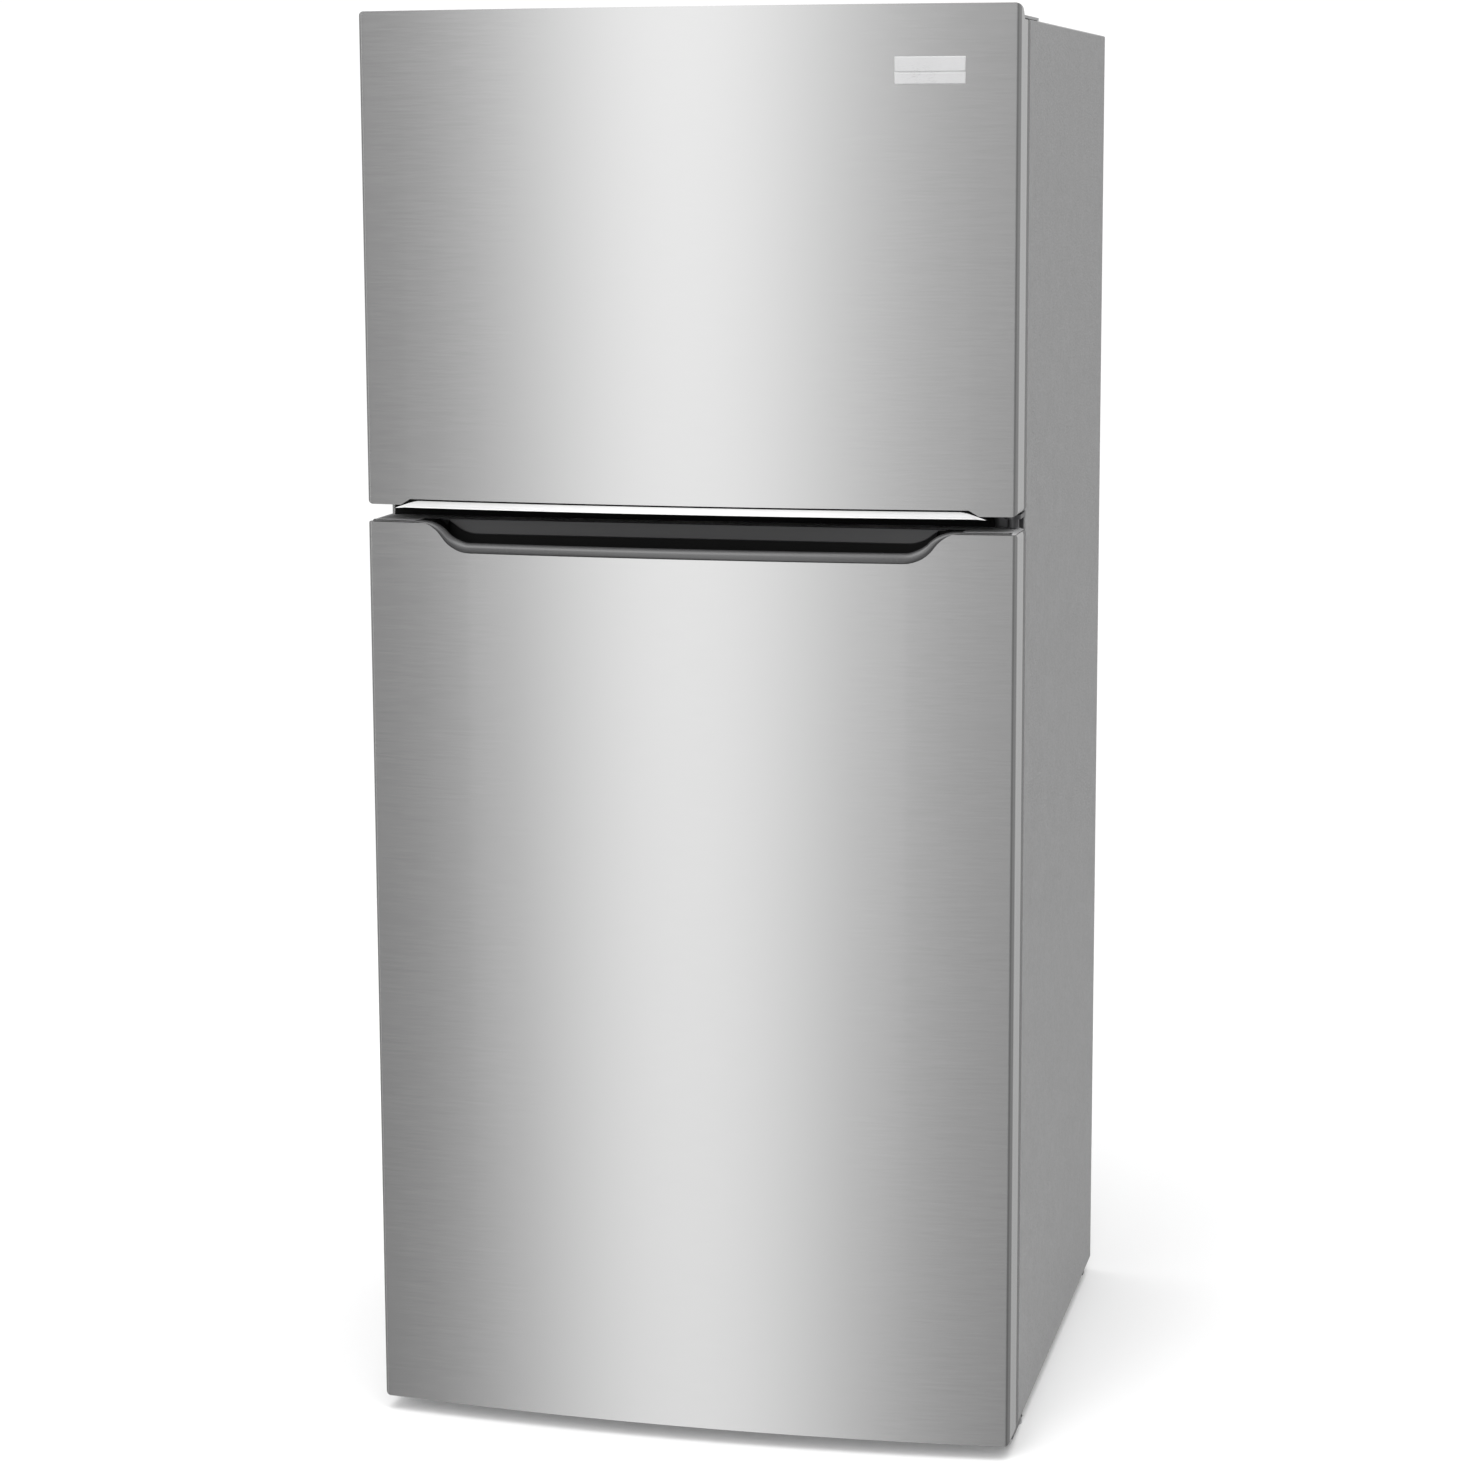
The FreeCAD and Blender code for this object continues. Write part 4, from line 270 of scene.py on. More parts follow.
def paint_side_shade(material, start, colour):
    """Painted shade: dark, non-metal colour beyond one Y of a metal object, along the rear of the doors'
    sides, standing in for the shadow between door and cabinet.
    """
    tree = material.node_tree
    shader = next(node for node in tree.nodes if node.type == "BSDF_PRINCIPLED")
    y = new_node(tree, "SeparateXYZ", {0: object_place(tree)}).outputs["Y"]
    share = ramp(tree, y, 0.0, 1.0, start - SIDE_SHADE_BLUR, start + SIDE_SHADE_BLUR)
    metal = shader.inputs["Base Color"].links[0].from_socket
    feed(shader, {"Base Color": mix_colours(tree, share, metal, (*colour, 1)),
                  "Metallic": ramp(tree, share, 1.0, 0.0, 0.0, 1.0)})
    return material


def embossed_paint(name, colour, rough):
    """Painted sheet with a leather-like pressed texture."""
    material, shader, tree = new_material(name)
    swirl = noise(tree, 210.0, (1, 1, 1), 5.0, 0.65)
    blotch = noise(tree, 60.0, (1, 1, 0.6), 5.0, 0.65)
    height = blend(tree, cells(tree, 330.0, smooth=0.7), 0.8, swirl)
    mottle = blend(tree, swirl, 0.5, blotch, 0.5)
    feed(shader, {"Base Color": tint(tree, mottle, colour, 0.86, 1.14, 0.38, 0.62),
                  "Roughness": ramp(tree, blotch, rough - 0.05, rough + 0.06),
                  "Normal": bump(tree, height, 0.0006, 1.0)})
    return material


def plain_metal(name, colour, rough, metallic=1.0, grain=900.0):
    """Rolled or plated sheet with faint mill marks."""
    material, shader, tree = new_material(name)
    marks = noise(tree, grain, (0.05, 0.4, 1.0), 2.0)
    both = blend(tree, marks, 0.4, noise(tree, 18.0, detail=4.0), 0.6)
    feed(shader, {"Base Color": tint(tree, both, colour, 0.93, 1.06), "Metallic": metallic,
                  "Roughness": ramp(tree, both, rough - 0.06, rough + 0.08),
                  "Normal": bump(tree, both, 0.00004, 0.5)})
    return material


def paint(name, colour, rough):
    """Powder coat with a slight orange-peel surface."""
    material, shader, tree = new_material(name)
    peel = noise(tree, 520.0, detail=2.0)
    feed(shader, {"Base Color": tint(tree, noise(tree, 14.0), colour, 0.94, 1.05),
                  "Roughness": ramp(tree, peel, rough - 0.04, rough + 0.05),
                  "Normal": bump(tree, peel, 0.00008, 0.5)})
    return material


def plastic(name, colour, rough, grain=1400.0, depth=0.00005, specular=0.5):
    """Moulded plastic with a fine spark-eroded grain and faint flow clouds."""
    material, shader, tree = new_material(name)
    skin = noise(tree, grain, detail=2.0)
    feed(shader, {"Base Color": tint(tree, noise(tree, 9.0), colour, 0.97, 1.02),
                  "Roughness": ramp(tree, skin, rough - 0.04, rough + 0.05),
                  "Specular IOR Level": specular, "Normal": bump(tree, skin, depth, 0.6)})
    return material


def rubber(name, colour):
    """Flexible vinyl with a dusty, uneven bloom."""
    material, shader, tree = new_material(name)
    bloom = noise(tree, 60.0, (1, 1, 1), 4.0, 0.6)
    feed(shader, {"Base Color": tint(tree, bloom, colour, 0.92, 1.08),
                  "Roughness": ramp(tree, bloom, 0.45, 0.62),
                  "Normal": bump(tree, noise(tree, 700.0), 0.00006, 0.5)})
    return material


def clear(name, colour, rough, opacity, edge, waviness=0.00002):
    """See-through glass or plastic, denser where it is seen edge-on, with faint moulding waves."""
    material, shader, tree = new_material(name)
    wave = noise(tree, 14.0, detail=2.0)
    slant = new_node(tree, "LayerWeight", {"Blend": 0.35}).outputs["Facing"]
    feed(shader, {"Base Color": tint(tree, wave, colour, 0.97, 1.02),
                  "Roughness": ramp(tree, wave, rough, rough + 0.05),
                  "Alpha": ramp(tree, slant, opacity, edge, 0.0, 1.0),
                  "IOR": 1.5, "Normal": bump(tree, wave, waviness, 0.4)})
    return material


def foam(name, colour):
    """Cut rigid foam: small closed cells."""
    material, shader, tree = new_material(name)
    feed(shader, {"Base Color": tint(tree, noise(tree, 25.0), colour, 0.88, 1.05), "Roughness": 0.9,
                  "Normal": bump(tree, cells(tree, 900.0), 0.0004, 0.8)})
    return material


def fins(name, colour):
    """Thin aluminium with a soft oxide bloom."""
    material, shader, tree = new_material(name)
    bloom = noise(tree, 90.0, detail=4.0)
    feed(shader, {"Base Color": tint(tree, bloom, colour, 0.85, 1.08), "Metallic": 1.0,
                  "Roughness": ramp(tree, bloom, 0.3, 0.5)})
    return material


def bright_coat(name, colour, rough):
    """Bright silver coat over plastic, brushed lengthwise."""
    material, shader, tree = new_material(name)
    lines = noise(tree, 3000.0, (0.02, 0.3, 1.0), 2.0)
    feed(shader, {"Base Color": tint(tree, lines, colour, 0.97, 1.02), "Metallic": 0.3,
                  "Roughness": ramp(tree, noise(tree, 12.0), rough - 0.03, rough + 0.05),
                  "Coat Weight": 0.5, "Coat Roughness": 0.12,
                  "Normal": bump(tree, lines, 0.00001, 0.3)})
    return material


DOOR_SIDE_SHADE = 0.018          # painted shade: a dark band along the rear of the doors' sides, behind their steel skin's front, for the shadow between door and cabinet
SIDE_SHADE_BLUR = 0.0002
FINISH_OF_NODE = {"top_hinge": "grey_cap"}      # painted like the cabinet, unlike the other hinges


def make_finishes():
    """A material for each slot of the record, and a few more."""
    skin = brushed_metal("brushed_stainless", (0.63, 0.63, 0.63), 0.25, 2400.0, 0.025)
    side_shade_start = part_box("fridge_door_skin")[1].y - DOOR_SIDE_SHADE
    return {
        # painted shade: the rear of the door skin's sides turns dark, standing in for the shadow between
        # door and cabinet
        "stainless": paint_side_shade(skin, side_shade_start, (0.05, 0.05, 0.05)),
        "grey_steel": embossed_paint("embossed_grey", (0.308, 0.308, 0.31), 0.45),
        "frame_steel": paint("frame_coat", (0.10, 0.10, 0.105), 0.5),
        "zinc_steel": plain_metal("zinc_sheet", (0.62, 0.63, 0.64), 0.42),
        "white_liner": plastic("liner_white", (0.71, 0.72, 0.725), 0.3, 500.0, 0.00004),
        "insulation": foam("rigid_foam", (0.86, 0.80, 0.58)),
        "dark_plastic": plastic("dark_satin", (0.057, 0.057, 0.059), 0.38),
        "bright_trim": bright_coat("bright_trim", (0.75, 0.75, 0.75), 0.22),
        "grey_trim": plastic("grey_trim", (0.05, 0.05, 0.051), 0.24, 1800.0, 0.00003, 1.0),
        # near-black plastic of the finger room and the bar's frame; it also colours the rib between the
        # doors, which is painted shade
        "dark_well_and_gap_shade": plastic("dark_well_and_gap_shade", (0.004, 0.004, 0.004), 0.6, 1800.0, 0.00003, 0.15),
        "plate_metal": plain_metal("plate_satin", (0.55, 0.55, 0.555), 0.30, 0.25, 3600.0),
        "gasket": rubber("grey_vinyl", (0.20, 0.20, 0.205)),
        "grey_cap": plastic("cap_grey", (0.36, 0.36, 0.365), 0.5),
        "clear_plastic": clear("clear_plastic", (0.70, 0.75, 0.77), 0.05, 0.15, 0.80),
        "glass": clear("shelf_glass", (0.55, 0.68, 0.65), 0.02, 0.13, 0.75, 0.00001),
        "white_plastic": plastic("moulded_white", (0.68, 0.69, 0.695), 0.4),
        "dial_grey": plastic("dial_grey", (0.42, 0.43, 0.44), 0.35),
        "print_grey": paint("print_grey", (0.10, 0.11, 0.12), 0.5),
        "wire": paint("coated_wire", (0.72, 0.72, 0.72), 0.35),
        "hinge_steel": plain_metal("hinge_coat", (0.13, 0.13, 0.135), 0.36, 0.7),
        "black_steel": paint("black_enamel", (0.018, 0.018, 0.019), 0.32),
        "black_rubber": rubber("black_rubber", (0.028, 0.028, 0.028)),
        "copper_fin": fins("fin_aluminium", (0.72, 0.71, 0.70)),
        "black_plastic": plastic("black_plastic", (0.022, 0.022, 0.024), 0.42),
        "screw_steel": plain_metal("screw_zinc", (0.66, 0.67, 0.68), 0.3),
    }


def paint_cad_nodes(finishes):
    for part in frame["record"]["subparts"]:
        mesh = nodes[part["node"]].data
        mesh.materials.clear()
        mesh.materials.append(finishes[FINISH_OF_NODE.get(part["node"], part["material_slot"])])


# -------------------------------- mesh tools

SMOOTH_BELOW = 38.0         # degrees between two faces that are shaded as one
MERGE = 1e-6
LEAST_RADIUS = 0.0006       # of a rounded rectangle's corners


def mesh_piece(name, shape, finish, body, replaced=(), sharp=SMOOTH_BELOW):
    """A named piece on a CAD body, smooth except along edges sharper than an angle."""
    points, faces = shape
    work = bmesh.new()
    corners = [work.verts.new(point) for point in points]
    for face in faces:
        work.faces.new([corners[index] for index in face])
    bmesh.ops.remove_doubles(work, verts=work.verts, dist=MERGE)
    bmesh.ops.recalc_face_normals(work, faces=work.faces)
    mesh = bpy.data.meshes.new(name)
    work.to_mesh(mesh)
    work.free()
    mesh.polygons.foreach_set("use_smooth", [True] * len(mesh.polygons))
    mesh.set_sharp_from_angle(angle=math.radians(sharp))
    mesh.materials.append(finishes[finish])
    piece = add_object(name, mesh)
    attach(piece, body)
    if replaced:
        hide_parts(*replaced)


def join(*shapes):
    """Several (points, faces) shapes as one."""
    points, faces = [], []
    for more_points, more_faces in shapes:
        start = len(points)
        points += more_points
        faces += [[index + start for index in face] for face in more_faces]
    return points, faces


def loft(rings, looped=False):
    """A skin over rings of points, capped at both ends or, when looped, joined last to first."""
    count = len(rings[0])
    points = [point for ring in rings for point in ring]
    faces = []
    steps = len(rings) if looped else len(rings) - 1
    for step in range(steps):
        here = step * count
        there = (step + 1) % len(rings) * count
        for index in range(count):
            after = (index + 1) % count
            faces.append([here + index, here + after, there + after, there + index])
    if not looped:
        faces += [list(range(count)), list(range(len(points) - count, len(points)))]
    return points, faces


def strip(rows):
    """A skin over open rows of points."""
    count = len(rows[0])
    points = [point for row in rows for point in row]
    faces = []
    for step in range(len(rows) - 1):
        for index in range(count - 1):
            corner = step * count + index
            faces.append([corner, corner + 1, corner + count + 1, corner + count])
    return points, faces


def spread(low, high, count):
    return [low + (high - low) * step / (count - 1) for step in range(count)]


def arc(start, end, count):
    """Cosine and sine of evenly spread angles, given in degrees."""
    turns = [math.radians(angle) for angle in spread(start, end, count)]
    return [(math.cos(turn), math.sin(turn)) for turn in turns]


def turned(x, y, z, radii):
    """Upright ring at depth y round a middle, with a corner for each radius."""
    turns = [math.tau * step / len(radii) for step in range(len(radii))]
    return [(x + radius * math.cos(turn), y, z + radius * math.sin(turn))
            for radius, turn in zip(radii, turns)]


def plan_ring(plan, radii, inset, z, count=6):
    """Rounded rectangle at height z. The plan is x0, x1, y0, y1, and the radii are for y0 and y1."""
    x0, x1 = plan[0] + inset, plan[1] - inset
    y0, y1 = plan[2] + inset, plan[3] - inset
    near, far = (max(LEAST_RADIUS, radius - inset) for radius in radii)
    ring = []
    for cx, cy, radius, start in ((x1 - far, y1 - far, far, 0), (x0 + far, y1 - far, far, 90),
                                  (x0 + near, y0 + near, near, 180), (x1 - near, y0 + near, near, 270)):
        ring += [(cx + radius * c, cy + radius * s, z) for c, s in arc(start, start + 90, count)]
    return ring


def standing_rings(plan, radius, steps, count=6):
    """Upright rounded rectangles, one for each (inset, y). The plan is x0, x1, z0, z1."""
    return [[(x, y, z) for x, z, y in plan_ring(plan, (radius, radius), inset, y, count)]
            for inset, y in steps]


def ease(share):
    """0 to 1 with level ends."""
    share = min(1.0, max(0.0, share))
    return share * share * (3 - 2 * share)


# -------------------------------- handle

DOOR_BOW = 0.022            # how far the middle of a door stands ahead of its sides
POCKET_HALF = 0.323         # where the lip leaves the door's top edge
POCKET_FLOOR_HALF = 0.254   # half the lip's level part
POCKET_DROP = 0.036
OPENING_HALF = POCKET_HALF - 0.004      # half the opening in the door's top cap
LIP_HEIGHT = 0.0115
LIP_DEPTH = 0.009
LIP_NOSE = 0.36             # part of its height at which it stands furthest forward
LIP_FOOT = (0.0009, -0.0006)            # its lowest point: behind the skin's face, and down
LIP_PROUD = 0.0001          # how far it stands ahead of the skin
TRIM_HEIGHT = 0.0025        # the lip where it runs along the door's top edge
CAP_INSET = 0.0065          # door's side to the top cap's upper edge
CAP_FOOT_INSET = 0.0017     # the same at the foot of its slanted rim
CAP_CORNER = 0.004          # cut off its front corners
CAP_BACK = 0.001            # cap's edge behind the skin's face
PIT_HALF = 0.288            # half the level part of the finger room behind the lip
PIT_DEPTH = 0.060
PIT_ROUND = 0.012
PIT_REACH = 0.045           # middle of the front to the finger room's back wall
PANEL_LIFT = 0.0185         # lip's lower edge to the lower edge of the panel behind it
PANEL_THICK = 0.0016
PANEL_BEVEL = 0.0012
BAR_BELOW = 0.004           # grip bar below the upper door
BAR_HEIGHT = 0.0088
BAR_THICK = 0.007
BAR_HALF = 0.346
BAR_SLANT = 0.029           # length of its pointed ends
BAR_TAPER = 0.97            # part of its height that is gone at the point
BAR_CURVE = 1.35            # above 1 the point starts gently
BAR_LEAN = 0.0012           # its upper edge lies further back
BAR_SOFT = 0.0011
BAR_INSET = 0.0005          # into the door's face
FRAME_GROW = 0.0019         # dark frame round the bar: wider by, and set back by
FRAME_BACK = 0.001
FRAME_SOFT = 0.0003
SHADE_RIB_END = 0.368             # painted shade: a near-black rib between the doors, standing in for the shadow in the gap; its reach to the free side and to the hinge
SHADE_RIB_HINGE_END = 0.345
SHADE_RIB_HEIGHT = 0.014
SHADE_RIB_THICK = 0.004


def door_front(x, inset=0.0):
    """Y of the doors' bowed face."""
    low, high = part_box("fridge_door_skin")
    half = high.x
    radius = (half * half + DOOR_BOW * DOOR_BOW) / (2 * DOOR_BOW)
    return low.y + radius - math.sqrt((radius - inset) ** 2 - x * x)


def pocket_edge(x):
    """Height of the pocket's S-shaped lower edge, and its slope as an angle."""
    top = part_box("fridge_handle_pocket")[1].z
    run = POCKET_HALF - POCKET_FLOOR_HALF
    radius = run / 2 / math.sin(2 * math.atan(POCKET_DROP / run))
    away = abs(x)
    if away <= POCKET_FLOOR_HALF:
        return top - POCKET_DROP, 0.0
    if away >= POCKET_HALF:
        return top, 0.0
    if away < (POCKET_FLOOR_HALF + POCKET_HALF) / 2:
        turn = math.asin((away - POCKET_FLOOR_HALF) / radius)
        height = top - POCKET_DROP + radius * (1 - math.cos(turn))
    else:
        turn = math.asin((POCKET_HALF - away) / radius)
        height = top - radius * (1 - math.cos(turn))
    return height, math.copysign(turn, x)


def lip_section(height, depth):
    """Round moulding as (depth, height) pairs, from a foot behind the skin's edge over the top."""
    pairs = [LIP_FOOT]
    pairs += [(0.25 * depth * (1 - c), LIP_NOSE * height * (1 - s)) for c, s in arc(75, 15, 5)]
    crown = 0.55 * depth
    pairs += [(crown * (1 - c), height * (LIP_NOSE + (1 - LIP_NOSE) * s)) for c, s in arc(0, 90, 11)]
    pairs += [(depth - 0.3 * depth * (1 - s), height * (0.55 + 0.45 * c)) for c, s in arc(0, 90, 6)]
    pairs.append((depth, 0.0))
    return pairs


def make_lip():
    """Rolled lip along the S-curve, which thins into the trim along the door's top edge."""
    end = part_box("fridge_door_skin")[1].x - CAP_INSET
    side = spread(POCKET_FLOOR_HALF, POCKET_HALF, 26) + spread(POCKET_HALF, end, 6)[1:]
    middle = spread(-POCKET_FLOOR_HALF, POCKET_FLOOR_HALF, 40)[1:-1]
    rings = []
    for x in (round(x, 6) for x in [-x for x in reversed(side)] + middle + side):
        base, slope = pocket_edge(x)
        share = ease((POCKET_HALF + 0.004 - abs(x)) / (POCKET_HALF - POCKET_FLOOR_HALF - 0.012))
        height = TRIM_HEIGHT + (LIP_HEIGHT - TRIM_HEIGHT) * share
        if abs(x) >= POCKET_HALF:
            base -= height
        else:
            base -= TRIM_HEIGHT * (1 - share)
        ring = []
        for depth, rise in lip_section(height, LIP_DEPTH):
            across = x - rise * math.sin(slope)
            ring.append((across, door_front(across) - LIP_PROUD + depth, base + rise * math.cos(slope)))
        rings.append(ring)
    mesh_piece("handle_lip", loft(rings), "grey_trim", "fridge_door")


def make_door_cap():
    """Top cap of the lower door: a plate with a slanted rim, round the pocket's opening."""
    low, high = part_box("fridge_handle_pocket")
    back = low.y + PIT_REACH
    rear = high.y
    levels = [(high.z, high.x - CAP_INSET), (high.z - TRIM_HEIGHT, high.x - CAP_FOOT_INSET)]
    shapes = []
    for z, reach in levels:
        corner = door_front(reach) + CAP_BACK + CAP_CORNER
        for side in (-1, 1):
            rows = [[(side * x, door_front(x) + CAP_BACK, z), (side * x, back, z), (side * x, rear, z)]
                    for x in spread(OPENING_HALF, reach - CAP_CORNER, 6)]
            rows.append([(side * reach, y, z) for y in (corner, back, rear)])
            shapes.append(strip(rows))
        steps = spread(-OPENING_HALF, OPENING_HALF, 24)
        shapes.append(strip([[(x, y, z) for y in (back, rear)] for x in steps]))
    for side in (-1, 1):
        shapes.append(strip([[(side * (reach - CAP_CORNER), door_front(reach) + CAP_BACK, z),
                              (side * reach, door_front(reach) + CAP_BACK + CAP_CORNER, z),
                              (side * reach, rear, z)] for z, reach in levels]))
    mesh_piece("door_top_cap", join(*shapes), "grey_cap", "fridge_door", ["fridge_handle_pocket"])


def well_row(x, front, back, top, floor, lift):
    """Section of the finger room at x: down behind the lip, across the floor and up the back wall."""
    row = [(x, front, pocket_edge(x)[0] + LIP_HEIGHT * 0.4)]
    for corner, reach, turns in ((front, PIT_ROUND, arc(0, 90, 5)), (back, -PIT_ROUND, arc(90, 0, 5))):
        row += [(x, corner + reach * (1 - c), floor + max(lift, PIT_ROUND * (1 - s))) for c, s in turns]
    row.append((x, back, top))
    return row


def make_pocket():
    """Finger room sunk in the lower door behind the lip, with a slanted shelf at each end."""
    low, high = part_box("fridge_handle_pocket")
    top = high.z
    back = low.y + PIT_REACH
    floor = top - PIT_DEPTH
    shapes = []
    for side in (-1, 1):
        shelf = []
        wall = []
        for x in spread(PIT_HALF, OPENING_HALF, 12):
            height = min(top, pocket_edge(x)[0] + LIP_HEIGHT * 0.5)
            front = door_front(x) + LIP_DEPTH * 0.7
            shelf.append([(side * x, front, height), (side * x, back, height)])
            wall.append([(side * x, back, height), (side * x, back, top)])
        shapes += [strip(shelf), strip(wall)]
    rows = []
    for x in [-PIT_HALF] + spread(-PIT_HALF + 0.002, PIT_HALF - 0.002, 40) + [PIT_HALF]:
        lift = PIT_ROUND if abs(x) == PIT_HALF else 0.0
        rows.append(well_row(x, door_front(x) + LIP_DEPTH - 0.0005, back, top, floor, lift))
    shapes.append(strip(rows))
    for row in (rows[0], rows[-1]):
        shapes.append((row, [list(range(len(row)))]))
    mesh_piece("handle_pocket", join(*shapes), "dark_well_and_gap_shade", "fridge_door")


def make_panel():
    """Satin panel on the finger room's back wall, with the lip's own S-curve along its lower edge."""
    low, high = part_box("fridge_handle_pocket")
    back = low.y + PIT_REACH + 0.0004
    front = low.y + PIT_REACH - PANEL_THICK
    top = high.z - 0.0005
    rings = []
    for x in spread(-PIT_HALF - 0.008, PIT_HALF + 0.008, 90):
        foot = min(top - 0.0005, pocket_edge(x)[0] + PANEL_LIFT)
        bevel = min(PANEL_BEVEL, (top - foot) / 3)
        section = ((back, foot), (front + bevel, foot), (front, foot + bevel), (front, top),
                   (back, top))
        rings.append([(x, y, z) for y, z in section])
    mesh_piece("handle_panel", loft(rings), "dark_plastic", "fridge_door")


def bar_rings(grow, set_back, thick, soft):
    """Sections of the grip bar from end to end, its outline grown and its front set back."""
    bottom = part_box("freezer_door_skin")[0].z - BAR_BELOW
    half = BAR_HALF + grow
    steps = spread(-half, -half + BAR_SLANT, 14) + spread(-half + BAR_SLANT, 0, 30)[1:]
    steps += [-x for x in reversed(steps[:-1])]
    rings = []
    for x in steps:
        into = (abs(x) - half + BAR_SLANT) / BAR_SLANT
        height = (BAR_HEIGHT + grow) * (1 - BAR_TAPER * max(0.0, into) ** BAR_CURVE)
        round_by = min(soft, height / 4)
        lean = BAR_LEAN * height / BAR_HEIGHT
        front = door_front(x, BAR_INSET) + set_back
        ring = []
        for z, y, start in ((0.0, 0.0, 270), (height, lean, 180), (height, thick, 90), (0.0, thick, 0)):
            centre_z = z + (round_by if z == 0 else -round_by)
            centre_y = y + (round_by if y < thick else -round_by)
            ring += [(x, front + centre_y + round_by * s, bottom + centre_z - round_by * c)
                     for c, s in arc(start, start - 90, 4)]
        rings.append(ring)
    return rings


def make_grip_bar():
    """Bright bar under the upper door, with pointed ends, in a thin dark frame."""
    bar = loft(bar_rings(0.0, 0.0, BAR_THICK, BAR_SOFT))
    mesh_piece("grip_bar", bar, "bright_trim", "freezer_door", ["freezer_grip_bar"])
    frame_bar = loft(bar_rings(FRAME_GROW, FRAME_BACK, BAR_THICK - FRAME_BACK, FRAME_SOFT))
    mesh_piece("grip_bar_frame", frame_bar, "dark_well_and_gap_shade", "freezer_door")


def make_gap_shade_rib():
    """Painted shade: a near-black rib on the lower door's top cap, standing in for the shadow in the gap
    between the doors.
    """
    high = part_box("fridge_handle_pocket")[1]
    front = high.y - SHADE_RIB_THICK
    foot = high.z - 0.001
    crest = high.z + SHADE_RIB_HEIGHT
    section = ((front, foot), (front + 0.0004, crest - 0.0012), (front + 0.0012, crest),
               (high.y, crest), (high.y, foot))
    rings = [[(x, y, z) for y, z in section] for x in spread(-SHADE_RIB_END, SHADE_RIB_HINGE_END, 30)]
    mesh_piece("gap_shade_rib", loft(rings), "dark_well_and_gap_shade", "fridge_door")


PLATE_SPLIT = 0.017         # plate's top edge to the line across it
PLATE_LINE = 0.0013
PLATE_LIFT = 0.0011         # how far it stands ahead of the door
PLATE_LINE_LIFT = 0.0004    # the same for the bottom of the line
PLATE_BEVEL = 0.0007


def make_plate():
    """Blank plate near the freezer door's corner: two bevelled fields with a thin line between."""
    low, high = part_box("front_plate")
    split = high.z - PLATE_SPLIT
    bevel = PLATE_BEVEL
    columns = [(low.x, 0.3), (low.x + bevel, 1.0)]
    columns += [(x, 1.0) for x in spread(low.x + 0.004, high.x - 0.004, 8)]
    columns += [(high.x - bevel, 1.0), (high.x, 0.3)]
    shapes = []
    for z0, z1, lift in ((split + PLATE_LINE / 2, high.z, PLATE_LIFT),
                         (low.z, split - PLATE_LINE / 2, PLATE_LIFT),
                         (low.z + bevel, high.z - bevel, PLATE_LINE_LIFT)):
        rings = []
        for x, share in columns:
            face = door_front(x)
            front = face - lift * share
            rings.append([(x, face, z0), (x, face - lift * 0.3, z0), (x, front, z0 + bevel),
                          (x, front, z1 - bevel), (x, face - lift * 0.3, z1), (x, face, z1)])
        shapes.append(loft(rings))
    mesh_piece("blank_plate", join(*shapes), "plate_metal", "freezer_door", ["front_plate"])


# -------------------------------- seals

SEAL_CORNER = 0.019
# across the seal from its outer edge, and from the door's liner to the cabinet, in thousandths
SEAL_SECTION = ((3, 0), (13, 0), (13, 1.4), (10.6, 2.2), (10.6, 3.2), (14.2, 4.6), (14.2, 5.8),
                (10.8, 7.4), (10.8, 8.0), (15, 8.8), (15.6, 9.6), (15.4, 11.2), (8, 11.4), (0.6, 11.2),
                (0.4, 9.6), (1, 8.8), (5.2, 8.0), (5.2, 7.4), (1.8, 5.8), (1.8, 4.6), (5.4, 3.2),
                (5.4, 2.2), (3, 1.4))


def make_seals():
    """Folded magnetic seals round both doors."""
    for door in ("freezer_door", "fridge_door"):
        low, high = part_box(door + "_gasket")
        steps = [(across / 1000, low.y + deep / 1000) for across, deep in SEAL_SECTION]
        rings = standing_rings((low.x, high.x, low.z, high.z), SEAL_CORNER, steps, 7)
        mesh_piece(door + "_seal", loft(rings, looped=True), "gasket", door, [door + "_gasket"])


# -------------------------------- back of the cabinet

BEAD_DEPTH = 0.0026         # how far a bead is pressed outwards
BEAD_HALF = 0.009           # half its width
BEAD_MARGIN = 0.055         # panel's edge to the outer beads


def bead_lines(low, high, middles):
    """Grid lines from low to high, close together across each bead."""
    lines = {low, high}
    for middle in middles:
        for step in range(-4, 5):
            lines.add(middle + step * BEAD_HALF / 3)
    for value in spread(low, high, 16):
        if all(abs(value - middle) > 2 * BEAD_HALF for middle in middles):
            lines.add(value)
    return sorted(line for line in lines if low <= line <= high)


def bead(distance):
    """Depth of a bead at a distance from its middle line."""
    share = min(1.0, abs(distance) / BEAD_HALF)
    return BEAD_DEPTH * 0.5 * (1 + math.cos(math.pi * share))


def make_back_panel():
    """Rear sheet with a pressed frame and three cross beads."""
    low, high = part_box("back_panel")
    columns = [low.x + BEAD_MARGIN, high.x - BEAD_MARGIN]
    levels = spread(low.z + BEAD_MARGIN, high.z - BEAD_MARGIN, 5)
    rows = []
    for z in bead_lines(low.z, high.z, levels):
        row = []
        for x in bead_lines(low.x, high.x, columns):
            depths = [0.0]
            if levels[0] - BEAD_HALF <= z <= levels[-1] + BEAD_HALF:
                depths += [bead(x - column) for column in columns]
            if columns[0] - BEAD_HALF <= x <= columns[1] + BEAD_HALF:
                depths += [bead(z - level) for level in levels]
            row.append((x, high.y + max(depths), z))
        rows.append(row)
    mesh_piece("rear_sheet", strip(rows), "zinc_steel", "cabinet", ["back_panel"], sharp=60.0)


SCREW_RADIUS = 0.0042
SCREW_HEIGHT = 0.0022
SCREW_STEPS = 24
SCREW_INSET = 0.012         # from the sheet's edges
SOCKET = 0.38               # half the socket's width, as a part of the head's radius


